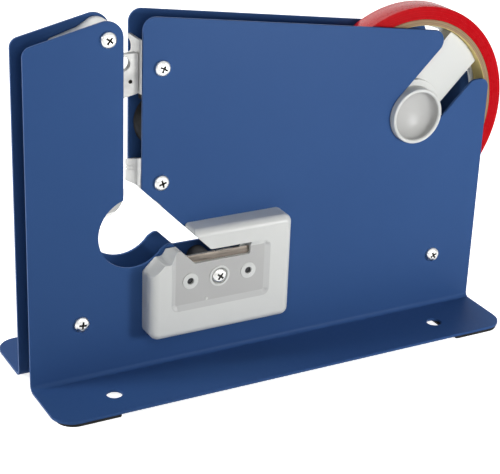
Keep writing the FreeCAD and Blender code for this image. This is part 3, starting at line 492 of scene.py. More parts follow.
# ---- Modelling ----------------------------------------------------------------------
class Workshop:
    """Modelling steps that the pieces share, done with operators and modifiers."""

    def __init__(self, palette: dict[Slot, Finish]) -> None:
        """Keep the finishes.

        Args:
            palette: Finish of each slot.
        """
        self.palette = palette

    @staticmethod
    def place(x: float, y: float, z: float) -> Vector:
        """Point in metres in the part's frame, from the maker's millimetres."""
        return Vector((x - ORIGIN_X, y - ORIGIN_Y, z - ORIGIN_Z)) * MM

    @staticmethod
    def select_only(*pieces: bpy.types.Object) -> None:
        """Select some objects and nothing else.

        Args:
            pieces: The objects, of which the first becomes the active one.
        """
        bpy.ops.object.select_all(action="DESELECT")
        for piece in pieces:
            piece.select_set(True)
        bpy.context.view_layer.objects.active = pieces[0]

    @staticmethod
    @contextmanager
    def editing(piece: bpy.types.Object) -> Iterator[None]:
        """Edit one object, with its whole mesh selected at the start.

        Args:
            piece: The object.

        Returns:
            A context that leaves edit mode at its end.
        """
        Workshop.select_only(piece)
        bpy.ops.object.mode_set(mode="EDIT")
        bpy.ops.mesh.select_mode(type="VERT")
        bpy.ops.mesh.select_all(action="SELECT")
        yield
        bpy.ops.object.mode_set(mode="OBJECT")

    @staticmethod
    def pick(kind: str, wanted: Callable[[object], bool]) -> None:
        """Select parts of the edited mesh by a test.

        Args:
            kind: "verts", "edges" or "faces".
            wanted: Test on each of them.
        """
        bpy.ops.mesh.select_all(action="DESELECT")
        bpy.ops.mesh.select_mode(type={"verts": "VERT", "edges": "EDGE", "faces": "FACE"}[kind])
        mesh = bmesh.from_edit_mesh(bpy.context.edit_object.data)
        for part in getattr(mesh, kind):
            if wanted(part):
                part.select_set(True)
        mesh.select_flush_mode()
        bmesh.update_edit_mesh(bpy.context.edit_object.data)

    @staticmethod
    def settle(piece: bpy.types.Object) -> None:
        """Apply the object's place, so that it sits at the origin."""
        Workshop.select_only(piece)
        bpy.ops.object.transform_apply(location=True, rotation=True, scale=True)

    @staticmethod
    def apply(piece: bpy.types.Object, kind: str, **settings: object) -> None:
        """Add a modifier and apply it.

        Args:
            piece: The object.
            kind: Type of the modifier.
            settings: Attributes of the modifier.
        """
        Workshop.select_only(piece)
        modifier = piece.modifiers.new(kind.lower(), kind)
        for key, value in settings.items():
            setattr(modifier, key, value)
        bpy.ops.object.modifier_apply(modifier=modifier.name)

    @staticmethod
    def soften(piece: bpy.types.Object, width: float, segments: int = 2,
               angle: float = 32.0) -> None:
        """Round the sharp edges and shade the rest smoothly.

        Args:
            piece: The object.
            width: Width of the rounding in millimetres.
            segments: Faces across the rounding.
            angle: Edges sharper than this many degrees are rounded.
        """
        if width:
            Workshop.apply(piece, "BEVEL", width=width * MM, segments=segments,
                           limit_method="ANGLE", angle_limit=math.radians(angle),
                           miter_outer="MITER_ARC", harden_normals=False)
        Workshop.select_only(piece)
        bpy.ops.object.shade_smooth_by_angle(angle=math.radians(angle + SMOOTH_MARGIN))
        if width:
            Workshop.apply(piece, "WEIGHTED_NORMAL", mode="FACE_AREA", weight=NORMAL_WEIGHT,
                           keep_sharp=True)

    @staticmethod
    def from_node(node: str, name: str, joined: bool = True) -> bpy.types.Object:
        """Copy a CAD node into a new piece.

        Args:
            node: Name of the CAD node.
            name: Name of the new piece.
            joined: Whether triangles in one plane are joined into one face. A face with
                a small hole in it is better kept in triangles.

        Returns:
            The new piece, with its doubles merged.
        """
        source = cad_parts[node]
        mesh = bpy.data.meshes.new(name)
        piece = bpy.data.objects.new(name, mesh)
        bpy.context.scene.collection.objects.link(piece)
        copy = bmesh.new()
        copy.from_mesh(source.data)
        copy.to_mesh(mesh)
        copy.free()
        with Workshop.editing(piece):
            bpy.ops.mesh.remove_doubles(threshold=CAD_DOUBLES)
            if joined:
                bpy.ops.mesh.dissolve_limited(angle_limit=IN_PLANE)
            else:
                bpy.ops.mesh.beautify_fill(angle_limit=IN_PLANE)
        return piece

    @staticmethod
    def spun(name: str, profile: Profile, centre: Vector, steps: int = 96,
             closed: bool = True) -> bpy.types.Object:
        """Turn a profile about an axis along Y.

        Args:
            name: Name of the new piece.
            profile: Points (radius, y) in millimetres, y in the maker's axes.
            centre: A point on the axis, in metres.
            steps: Faces around the axis.
            closed: Whether the profile is a loop; otherwise it ends on the axis.

        Returns:
            The new piece.
        """
        points = [Vector((centre.x + radius * MM, (y - ORIGIN_Y) * MM, centre.z))
                  for radius, y in profile]
        bpy.ops.object.select_all(action="DESELECT")
        bpy.ops.mesh.primitive_plane_add(size=MM, location=points[0])
        piece = bpy.context.object
        piece.name = piece.data.name = name
        Workshop.settle(piece)
        with Workshop.editing(piece):
            bpy.ops.mesh.merge(type="CENTER")
            for start, end in zip(points, points[1:]):
                bpy.ops.mesh.extrude_region_move(TRANSFORM_OT_translate={"value": end - start})
            if closed:
                ends = (points[0], points[-1])
                Workshop.pick("verts", lambda v: min((v.co - e).length
                                                     for e in ends) < SAME_SPOT)
                bpy.ops.mesh.edge_face_add()
            bpy.ops.mesh.select_all(action="SELECT")
            bpy.ops.mesh.spin(steps=steps, angle=math.tau, center=centre, axis=(0, 1, 0))
            bpy.ops.mesh.select_all(action="SELECT")
            bpy.ops.mesh.remove_doubles(threshold=SPUN_DOUBLES)
            bpy.ops.mesh.normals_make_consistent(inside=False)
        return piece

    @staticmethod
    def rounded(outline: Sequence[tuple[float, float, float]],
                segments: int = 4) -> list[tuple[float, float]]:
        """Closed profile with rounded corners.

        Args:
            outline: Corners (radius, y, rounding) in millimetres.
            segments: Pieces of each rounding.

        Returns:
            Points (radius, y).
        """
        points = []
        for index, (u, v, rounding) in enumerate(outline):
            here = Vector((u, v))
            back = (Vector(outline[index - 1][:2]) - here).normalized()
            ahead = (Vector(outline[(index + 1) % len(outline)][:2]) - here).normalized()
            half = back.angle(ahead) / 2
            middle = here + (back + ahead).normalized() * (rounding / math.sin(half))
            first = here + back * (rounding / math.tan(half)) - middle
            last = here + ahead * (rounding / math.tan(half)) - middle
            for step in range(segments + 1):
                arm = first.slerp(last, step / segments).normalized() * first.length
                points.append(tuple(middle + arm))
        return points

    def dress(self, piece: bpy.types.Object, slot: Slot, body: Body, *nodes: str,
              finish: Finish | None = None) -> bpy.types.Object:
        """Give a piece its finish, its body and the nodes that it stands for.

        Args:
            piece: The object.
            slot: Material slot.
            body: Body that it rides on.
            nodes: CAD nodes that it replaces.
            finish: Finish to wear in place of the slot's own.

        Returns:
            The piece.
        """
        material = (finish or self.palette[slot]).material()
        if piece.data.materials:
            piece.data.materials[0] = material
        else:
            piece.data.materials.append(material)
        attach(piece, body.value)
        if nodes:
            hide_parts(*nodes)
        logger.info("%s: %d faces on %s", piece.name, len(piece.data.polygons), body.value)
        return piece

    def paint_node(self, node: str, slot: Slot) -> None:
        """Give a shown CAD node its finish.

        Args:
            node: Name of the node.
            slot: Material slot.
        """
        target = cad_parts[node]
        target.data.materials.clear()
        target.data.materials.append(self.palette[slot].material())
        logger.info("%s keeps its shape, finish %s", node, slot.value)

    def refined(self, node: str, slot: Slot, body: Body, width: float,
                segments: int = 2, finish: Finish | None = None,
                joined: bool = True) -> bpy.types.Object:
        """Replace a CAD node by a copy with softened edges.

        Args:
            node: Name of the node.
            slot: Material slot.
            body: Body that it rides on.
            width: Rounding of the edges in millimetres.
            segments: Faces across the rounding.
            finish: Finish to wear in place of the slot's own.
            joined: Whether triangles in one plane are joined into one face.

        Returns:
            The new piece.
        """
        piece = self.from_node(node, node + "_skin", joined)
        self.soften(piece, width, segments)
        return self.dress(piece, slot, body, node, finish=finish)


# ---- Sub-assemblies -----------------------------------------------------------------
@dataclass
class BaseFrame:
    """Two bent plates on rubber pads, held apart by spacers.

    Attributes:
        shop: Modelling steps and finishes.
        plate_edge: Rounding of the plates' edges.
        pad_edge: Rounding of the pads' edges.
        spacer_edge: Rounding of the spacers' edges.
        dull: Finish of the spacers.
    """

    shop: Workshop
    plate_edge: float = 0.22
    pad_edge: float = 0.25
    spacer_edge: float = 0.15
    dull: Finish = Finish("phosphated steel", (0.055, 0.055, 0.058), (0.035, 0.035, 0.037),
                          (0.5, 0.65), 160.0, 1500.0, 0.015, metallic=0.6)

    def build(self) -> None:
        """Build the plates, the pads and the spacers."""
        for node in ("front_side_plate", "rear_side_plate"):
            self.shop.refined(node, Slot.PAINT, Body.FRAME, self.plate_edge)
        self.shop.refined("foot_pads", Slot.RUBBER, Body.FRAME, self.pad_edge)
        for node in ("plate_spacers", "lever_pivot_spacer"):
            self.shop.refined(node, Slot.STEEL, Body.FRAME, self.spacer_edge, finish=self.dull)


@dataclass
class Screws:
    """Pan head screws with a cross recess, modelled once and copied.

    Attributes:
        shop: Modelling steps and finishes.
        head: Largest radius of the head.
        rise: Height of the head.
        dome: Points of the dome, each with its radius and its drop below the top.
        rim: Height of the widest place above the seat.
        underside: Radius of the head where it meets the seat.
        shaft: Radius of the shaft.
        reach: Length of the shaft below the seat.
        tip: Chamfer of the tip.
        steps: Faces around the axis.
        edge: Rounding of the sharp edges.
        sharp: Edges past this many degrees are sharp.
        recess: Reach of the cross from its middle.
        recess_width: Width of an arm of the cross at the top.
        recess_depth: Depth of the cross.
        recess_taper: Size of the recess's floor against its mouth.
        recess_margin: Room around the cross in which its faces are looked for.
        recess_lip: Depth below the top where the faces with painted shade begin.
        seats: Places (x, z) of the screws that each plate has.
        cutter_seat: Place (x, z) of the screw in the cutter.
        cutter_depth: Place of that screw's seat along Y.
        turns: Turn of each cross in degrees.
    """

    shop: Workshop
    head: float = 3.3
    rise: float = 1.9
    dome: Profile = ((1.3, 0.0), (2.1, 0.12), (2.75, 0.42), (3.12, 0.85), (3.27, 1.35))
    rim: float = 0.25
    underside: float = 3.2
    shaft: float = 2.0
    reach: float = 6.2
    tip: float = 0.3
    steps: int = 48
    edge: float = 0.06
    sharp: float = 40.0
    recess: float = 2.15
    recess_width: float = 1.05
    recess_depth: float = 1.3
    recess_taper: tuple[float, float, float] = (0.55, 1.0, 0.6)
    recess_margin: float = 0.1
    recess_lip: float = 0.25
    seats: tuple[tuple[float, float], ...] = (
        (33.5, 140.6), (21.8, 25.0), (189.9, 25.0), (55.8, 127.2), (55.9, 80.3))
    cutter_seat: tuple[float, float] = (78.5, 39.4)
    cutter_depth: float = -8.0
    turns: tuple[float, ...] = (38.0, 8.0, 61.0, 27.0, 74.0, 50.0)

    def pattern(self) -> bpy.types.Object:
        """One screw at the maker's origin, entering along +Y.

        Returns:
            The screw.
        """
        top = -self.rise
        profile = [(0.0, top), *((radius, top + drop) for radius, drop in self.dome),
                   (self.head, -self.rim), (self.underside, 0.0), (self.shaft, 0.0),
                   (self.shaft, self.reach - self.tip), (self.shaft - self.tip, self.reach),
                   (0.0, self.reach)]
        centre = self.shop.place(0.0, 0.0, 0.0)
        screw = self.shop.spun("screw_pattern", profile, centre, self.steps, closed=False)
        for turned in (0.0, math.pi / 2):
            arm = self.recess_arm(centre, turned)
            self.shop.apply(screw, "BOOLEAN", object=arm, operation="DIFFERENCE",
                            solver="EXACT")
            bpy.data.objects.remove(arm)
        for finish in (self.shop.palette[Slot.SCREW], PAINTED_RECESS_SHADE):
            screw.data.materials.append(finish.material())
        # Faces inside the cross recess get painted shade.
        for face in screw.data.polygons:
            offset = (face.center - centre) / MM
            inside = math.hypot(offset.x, offset.z) < self.recess + self.recess_margin
            if inside and top + self.recess_lip < offset.y < 0.0:
                face.material_index = 1
        self.shop.soften(screw, self.edge, angle=self.sharp)
        return screw

    def recess_arm(self, centre: Vector, turned: float) -> bpy.types.Object:
        """Tapered bar that cuts one arm of the cross recess.

        Args:
            centre: The maker's origin in metres.
            turned: Angle about the screw's axis.

        Returns:
            The cutter.
        """
        depth = self.recess_depth * MM
        bpy.ops.object.select_all(action="DESELECT")
        bpy.ops.mesh.primitive_cube_add(size=1.0, location=centre)
        arm = bpy.context.object
        arm.scale = (2 * self.recess * MM, 2 * depth, self.recess_width * MM)
        self.shop.settle(arm)
        lift = Vector((0.0, -self.rise * MM, 0.0))
        with self.shop.editing(arm):
            self.shop.pick("faces", lambda f: f.normal.y > 0.9)
            bpy.ops.transform.resize(value=self.recess_taper)
        arm.data.transform(Matrix.Translation(centre + lift) @ Matrix.Rotation(turned, 4, "Y")
                           @ Matrix.Translation(-centre))
        return arm

    def copies(self, name: str, pattern: bpy.types.Object,
               seats: Sequence[tuple[float, float]], depth: float,
               rear: bool = False) -> bpy.types.Object:
        """Copies of the screw at their seats, joined into one piece.

        Args:
            name: Name of the piece.
            pattern: The screw.
            seats: Places (x, z) in millimetres.
            depth: Place of the seat along Y.
            rear: Whether they enter from the rear plate.

        Returns:
            The piece.
        """
        screws = []
        home = Matrix.Translation(-self.shop.place(0.0, 0.0, 0.0))
        for (x, z), turn in zip(seats, self.turns):
            screw = pattern.copy()
            screw.data = pattern.data.copy()
            bpy.context.scene.collection.objects.link(screw)
            turned = Matrix.Rotation(math.radians(turn), 4, "Y")
            if rear:
                turned = Matrix.Rotation(math.pi, 4, "Z") @ turned
            target = Matrix.Translation(self.shop.place(x, depth, z))
            screw.data.transform(target @ turned @ home)
            screws.append(screw)
        self.shop.select_only(*screws)
        if len(screws) > 1:
            bpy.ops.object.join()
        screws[0].name = screws[0].data.name = name
        return screws[0]

    def build(self) -> None:
        """Build the screws of both plates and of the cutter."""
        pattern = self.pattern()
        rear_face = (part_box("rear_screws")[1].y / MM + ORIGIN_Y) - self.rise
        rear_seats = (*self.seats, self.cutter_seat)
        for name, node, seats, depth, rear in (
                ("front_screw_set", "front_screws", self.seats, 0.0, False),
                ("rear_screw_set", "rear_screws", rear_seats, rear_face, True),
                ("cutter_screw", "housing_screw", (self.cutter_seat,), self.cutter_depth,
                 False)):
            piece = self.copies(name, pattern, seats, depth, rear)
            self.shop.dress(piece, Slot.SCREW, Body.FRAME, node)
        bpy.data.objects.remove(pattern)


@dataclass
class TapeRoll:
    """Wound tape on its card core, on a white wheel and spindle.

    Attributes:
        shop: Modelling steps and finishes.
        front: Front face of the roll along Y.
        back: Rear face of the roll along Y.
        film_outer: Outer radius of the wound film.
        film_inner: Inner radius of the wound film.
        film_shoulder: Outer corner of the film, as insets and depths.
        film_inner_edge: How far the film lies back at the card core.
        layers: Rings that the film's sides show.
        layers_start: Distance of the first ring from the inner radius.
        layers_margin: Width of the sides without rings.
        layer_spread: The most that a ring lies back.
        core_outer: Outer radius of the card core.
        core_inner: Inner radius of the card core.
        core_rounding: Rounding of the core's inner and outer corners.
        steps: Faces around the roll.
        hub_edge: Rounding of the wheel's edges.
        spindle: Radius of the spindle's ends.
        spindle_front: Front end of the spindle along Y.
        spindle_back: Rear end of the spindle along Y.
        wall: Thickness of the lip around a cup.
        cup: Depth of a cup.
        dish: Floor of a cup, as radii and rises above its deepest place.
        dish_wall: Wall of a cup, as insets from the lip and rises.
        lip_inner: Inner side of the lip, as distances outwards and depths.
        lip_outer: Outer side of the lip, as insets and depths.
        seed: Seed of the rings' depths.
    """

    shop: Workshop
    front: float = 2.3
    back: float = 12.3
    film_outer: float = 46.4
    film_inner: float = 40.72
    film_shoulder: Profile = ((0.12, 0.08), (0.0, 0.25))
    film_inner_edge: float = 0.2
    layers: int = 14
    layers_start: float = 0.1
    layers_margin: float = 0.5
    layer_spread: float = 0.09
    core_outer: float = 40.7
    core_inner: float = 38.1
    core_rounding: tuple[float, float] = (0.3, 0.15)
    steps: int = 160
    hub_edge: float = 0.4
    spindle: float = 12.1
    spindle_front: float = -2.8
    spindle_back: float = 17.4
    wall: float = 1.6
    cup: float = 7.0
    dish: Profile = ((0.0, 0.0), (3.0, 0.25), (6.0, 1.0), (8.4, 2.1), (9.8, 3.2))
    dish_wall: Profile = ((0.1, 4.1), (0.0, 4.6))
    lip_inner: Profile = ((0.0, 0.75), (0.2, 0.25), (0.6, 0.0))
    lip_outer: Profile = ((0.5, 0.0), (0.14, 0.15), (0.0, 0.55))
    seed: int = 7

    def __post_init__(self) -> None:
        """Find the centre of the roll."""
        low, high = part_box("tape_core")
        self.centre = (low + high) / 2

    def film(self) -> bpy.types.Object:
        """Wound tape whose layers stand out a little from each other.

        Returns:
            The ring.
        """
        rng = random.Random(self.seed)
        pitch = (self.film_outer - self.film_inner - self.layers_margin) / self.layers
        start = self.film_inner + self.layers_start
        edges = [start + pitch * step for step in range(self.layers + 1)]
        offsets = [rng.uniform(0.0, self.layer_spread) for _ in range(self.layers)]
        front, back = [], []
        for step, offset in enumerate(offsets):
            front += [(edges[step], self.front + offset), (edges[step + 1], self.front + offset)]
            back += [(edges[step], self.back - offset), (edges[step + 1], self.back - offset)]
        outer = [(self.film_outer - inset, self.front + depth)
                 for inset, depth in self.film_shoulder]
        outer += [(self.film_outer - inset, self.back - depth)
                  for inset, depth in self.film_shoulder[::-1]]
        inner = [(self.film_inner, self.back - self.film_inner_edge),
                 (self.film_inner, self.front + self.film_inner_edge)]
        ring = self.shop.spun("wound_tape", front + outer + back[::-1] + inner, self.centre,
                              self.steps)
        self.shop.soften(ring, 0.0, angle=30.0)
        return ring

    def core(self) -> bpy.types.Object:
        """Card core with softened rims.

        Returns:
            The ring.
        """
        inner, outer = self.core_rounding
        outline = [(self.core_inner, self.front, inner), (self.core_outer, self.front, outer),
                   (self.core_outer, self.back, outer), (self.core_inner, self.back, inner)]
        ring = self.shop.spun("card_core", self.shop.rounded(outline), self.centre, self.steps)
        self.shop.soften(ring, 0.0, angle=40.0)
        return ring

    def axle(self) -> bpy.types.Object:
        """Spindle with a dished cup and a rounded lip at each end.

        Returns:
            The spindle.
        """
        lip = self.spindle - self.wall
        cup = [(radius, self.cup - rise) for radius, rise in self.dish]
        cup += [(lip - inset, self.cup - rise) for inset, rise in self.dish_wall]
        rim = [(lip + outset, depth) for outset, depth in self.lip_inner]
        rim += [(self.spindle - inset, depth) for inset, depth in self.lip_outer]
        half = [(radius, self.spindle_front + depth) for radius, depth in cup + rim]
        both_ends = self.spindle_front + self.spindle_back
        mirrored = [(radius, both_ends - y) for radius, y in half]
        piece = self.shop.spun("spindle_body", half + mirrored[::-1], self.centre,
                               closed=False)
        self.shop.soften(piece, 0.0, angle=45.0)
        # The cups' faces get a darker copy of the moulded white: painted shade inside the cups.
        for finish in (self.shop.palette[Slot.WHITE], SHADED_WHITE):
            piece.data.materials.append(finish.material())
        for face in piece.data.polygons:
            offset = (face.center - self.centre) / MM
            if math.hypot(offset.x, offset.z) < lip:
                face.material_index = 1
        return piece

    def build(self) -> None:
        """Build the roll and the spindle."""
        self.shop.dress(self.film(), Slot.TAPE, Body.ROLL, "tape_winding")
        self.shop.dress(self.core(), Slot.CARD, Body.ROLL, "tape_core")
        self.shop.refined("core_hub", Slot.WHITE, Body.ROLL, self.hub_edge, segments=3,
                          joined=False)
        self.shop.dress(self.axle(), Slot.WHITE, Body.SPINDLE, "tape_spindle")


@dataclass
class TapePath:
    """Guides, knife and roller between the plates.

    Attributes:
        shop: Modelling steps and finishes.
        guide_edge: Rounding of the guides' edges.
        screw_edge: Rounding of the knife screw's edges.
        tyre_edge: Rounding of the tyre's edges.
        core_edge: Rounding of the roller core's edges.
        pin_edge: Rounding of the pin's and the washers' edges.
    """

    shop: Workshop
    guide_edge: float = 0.18
    screw_edge: float = 0.1
    tyre_edge: float = 0.5
    core_edge: float = 0.2
    pin_edge: float = 0.12

    def build(self) -> None:
        """Soften the guides and the small pieces, and finish the knife."""
        for node in ("upper_tape_guide", "lower_tape_guide"):
            self.shop.refined(node, Slot.CAST, Body.FRAME, self.guide_edge)
        self.shop.paint_node("tape_knife", Slot.BLADE)
        self.shop.refined("knife_screw", Slot.SCREW, Body.FRAME, self.screw_edge)
        self.shop.refined("roller_tyre", Slot.RUBBER, Body.ROLLER, self.tyre_edge, segments=3)
        self.shop.refined("roller_core", Slot.BLACK, Body.ROLLER, self.core_edge)
        for node in ("roller_pin", "roller_washers"):
            self.shop.refined(node, Slot.STEEL, Body.FRAME, self.pin_edge)


@dataclass
class PresserLever:
    """Lever with a nose plate in painted shade, its torsion spring and the stop pin.

    Attributes:
        shop: Modelling steps and finishes.
        lever_edge: Rounding of the lever's edges.
        pin_edge: Rounding of the stop pin's edges.
        pivot: Axis (x, z) that the lever swings about.
        coil: Radius of the spring's coil.
        coil_steps: Points in a turn of the coil.
        wire: Radius of the spring's wire.
        first: Place of the coil's first turn along Y.
        pitch: Distance between two turns.
        turns: Turns of the coil.
        leg_end: Place (x, z) of the hook on the lever's arm.
        hook: Place of the hook's end along Y.
        hook_bend: Where the hook starts, inwards and upwards.
        rest_end: Place (x, z) of the leg's end under the stop pin.
        blend_start: Point up to which the spring stays with the frame; not used.
        blend_end: Point from which the spring moves with the lever; not used.
        pit: Place (x, z) of the pit in the nose plate.
        pit_radius: Radius within which faces belong to the pit, which gets painted shade.
        nose_start: Place along X past which the nose plate shows.
        sheet: Finish of the nose plate, a darker copy of the galvanised finish as painted shade.
    """

    shop: Workshop
    lever_edge: float = 0.2
    pin_edge: float = 0.12
    pivot: tuple[float, float] = (33.5, 140.6)
    coil: float = 4.6
    coil_steps: int = 28
    wire: float = 0.35
    first: float = 2.0
    pitch: float = 0.72
    turns: float = 2.75
    leg_end: tuple[float, float] = (31.2, 123.6)
    hook: float = 7.6
    hook_bend: tuple[float, float] = (1.0, 0.8)
    rest_end: tuple[float, float] = (20.9, 131.9)
    blend_start: tuple[float, float, float] = (22.0, 3.0, 133.0)
    blend_end: tuple[float, float, float] = (28.7, 3.0, 133.0)
    pit: tuple[float, float] = (44.0, 122.2)
    pit_radius: float = 0.82
    nose_start: float = 39.2
    # Painted shade: the galvanised finish darkened for the nose plate.
    sheet: Finish = Finish("galvanised sheet, painted shade", (0.56, 0.56, 0.54), (0.40, 0.40, 0.39),
                           (0.34, 0.50), 190.0, 700.0, 0.02, metallic=0.35)

    def spring(self) -> bpy.types.Object:
        """Coil around the pivot, with a leg down the arm and a leg under the stop pin.

        Returns:
            The spring.
        """
        x, z = self.pivot
        leg_x, leg_z = self.leg_end
        inward, up = self.hook_bend
        points = [self.shop.place(leg_x, self.hook, leg_z),
                  self.shop.place(leg_x, self.first + inward, leg_z),
                  self.shop.place(leg_x, self.first, leg_z + up)]
        for step in range(round(self.coil_steps * self.turns) + 1):
            angle = math.pi - math.tau * step / self.coil_steps
            points.append(self.shop.place(
                x + self.coil * math.cos(angle),
                self.first + self.pitch * step / self.coil_steps,
                z + self.coil * math.sin(angle)))
        points.append(self.shop.place(self.rest_end[0], self.first + self.pitch * self.turns,
                                      self.rest_end[1]))
        bpy.ops.object.select_all(action="DESELECT")
        bpy.ops.curve.primitive_nurbs_path_add()
        spring = bpy.context.object
        spring.name = spring.data.name = "torsion_spring"
        spring.data.splines.clear()
        line = spring.data.splines.new("POLY")
        line.points.add(len(points) - 1)
        for knot, point in zip(line.points, points):
            knot.co = (*point, 1.0)
        spring.data.bevel_depth = self.wire * MM
        spring.data.bevel_resolution = 3
        spring.data.use_fill_caps = True
        self.shop.settle(spring)
        bpy.ops.object.convert(target="MESH")
        self.shop.soften(spring, 0.0, angle=50.0)
        return spring

    def build(self) -> None:
        """Build the lever, its spring and the stop pin."""
        lever = self.shop.refined("presser_lever", Slot.CAST, Body.LEVER, self.lever_edge,
                                  joined=False)
        # The pit's faces get painted shade, and the nose plate's faces the darker copy of the
        # galvanised finish, also painted shade.
        lever.data.materials.append(PAINTED_RECESS_SHADE.material())
        lever.data.materials.append(self.sheet.material())
        pit = self.shop.place(self.pit[0], 0.0, self.pit[1])
        nose = self.shop.place(self.nose_start, 0.0, 0.0).x
        for face in lever.data.polygons:
            offset = (face.center - pit) / MM
            if math.hypot(offset.x, offset.z) < self.pit_radius:
                face.material_index = 1
            elif max(lever.data.vertices[v].co.x for v in face.vertices) > nose:
                face.material_index = 2
        self.shop.refined("lever_stop_pin", Slot.STEEL, Body.FRAME, self.pin_edge)
        spring = self.spring()
        spring.data.materials.clear()
        spring.data.materials.append(self.shop.palette[Slot.STEEL].material())
        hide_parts("lever_spring")
        self.shop.place(*self.blend_start)
        self.shop.place(*self.blend_end)
        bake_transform(spring)
        logger.info("torsion_spring bends between the frame and the lever")


@dataclass
class TrimCutter:
    """White moulded housing with its blade, pins and backing plate.

    Attributes:
        shop: Modelling steps and finishes.
        housing_edge: Rounding of the housing's edges.
        backing_edge: Rounding of the backing plate's edges.
        pin_edge: Rounding of the pins' edges.
        floor_depth: Floor of the window along Y.
        floor_margin: How near that floor a face belongs to it.
        floor_facing: A face of the floor, which gets painted shade, turns to the front at least
            this much.
        slope_facing: Range in which a sloping side, which gets painted shade, turns to the
            front.
        front: Front face of the housing along Y.
        window: Left, right, lower and upper limit of the window.
        pin: Finish of the pins.
    """

    shop: Workshop
    housing_edge: float = 0.18
    backing_edge: float = 0.1
    pin_edge: float = 0.2
    floor_depth: float = -8.8
    floor_margin: float = 0.15
    floor_facing: float = -0.98
    slope_facing: tuple[float, float] = (-0.95, -0.2)
    front: float = -10.0
    window: tuple[float, float, float, float] = (56.0, 101.3, 27.0, 50.8)
    pin: Finish = Finish("blued pin", (0.016, 0.017, 0.020), (0.030, 0.030, 0.032),
                         (0.35, 0.5), 200.0, 1500.0, 0.02, metallic=0.5)

    def in_window(self, spot: Vector) -> bool:
        """Whether a point is in the window, between the bezel and the floor.

        Args:
            spot: The point in millimetres, in the maker's axes.

        Returns:
            True between the bezel and the floor.
        """
        left, right, low, high = self.window
        return (left < spot.x < right and low < spot.z < high
                and self.front < spot.y < self.floor_depth)

    def build(self) -> None:
        """Build the housing, with painted shade on its window's floor and sloping sides, and
        finish what is in it.
        """
        housing = self.shop.refined("cutter_housing", Slot.WHITE, Body.FRAME,
                                    self.housing_edge)
        for finish in (SHADED_WHITE, SLOPE_SHADE_WHITE):
            housing.data.materials.append(finish.material())
        steepest, flattest = self.slope_facing
        for face in housing.data.polygons:
            spot = face.center / MM + Vector((ORIGIN_X, ORIGIN_Y, ORIGIN_Z))
            on_floor = abs(spot.y - self.floor_depth) < self.floor_margin
            # Faces of the window's floor get painted shade.
            if face.normal.y < self.floor_facing and on_floor:
                face.material_index = 1
            # Sloping sides of the window get painted shade by which way they face.
            elif self.in_window(spot) and steepest < face.normal.y < flattest:
                face.material_index = 2
        self.shop.refined("trim_blade", Slot.BLADE, Body.FRAME, 0.0)
        self.shop.refined("blade_backing_plate", Slot.STEEL, Body.FRAME, self.backing_edge)
        self.shop.refined("blade_pins", Slot.STEEL, Body.FRAME, self.pin_edge,
                          finish=self.pin)


# ---- Studio -------------------------------------------------------------------------
@dataclass(frozen=True)
class Lamp:
    """A square soft lamp.

    Attributes:
        name: Name of the lamp.
        spot: Place in metres.
        aim: Point that it faces, in metres.
        size: Side in metres.
        power: Power in watts.
        mirrored: Whether shiny surfaces show it.
    """

    name: str
    spot: tuple[float, float, float]
    aim: tuple[float, float, float]
    size: float
    power: float
    mirrored: bool = True


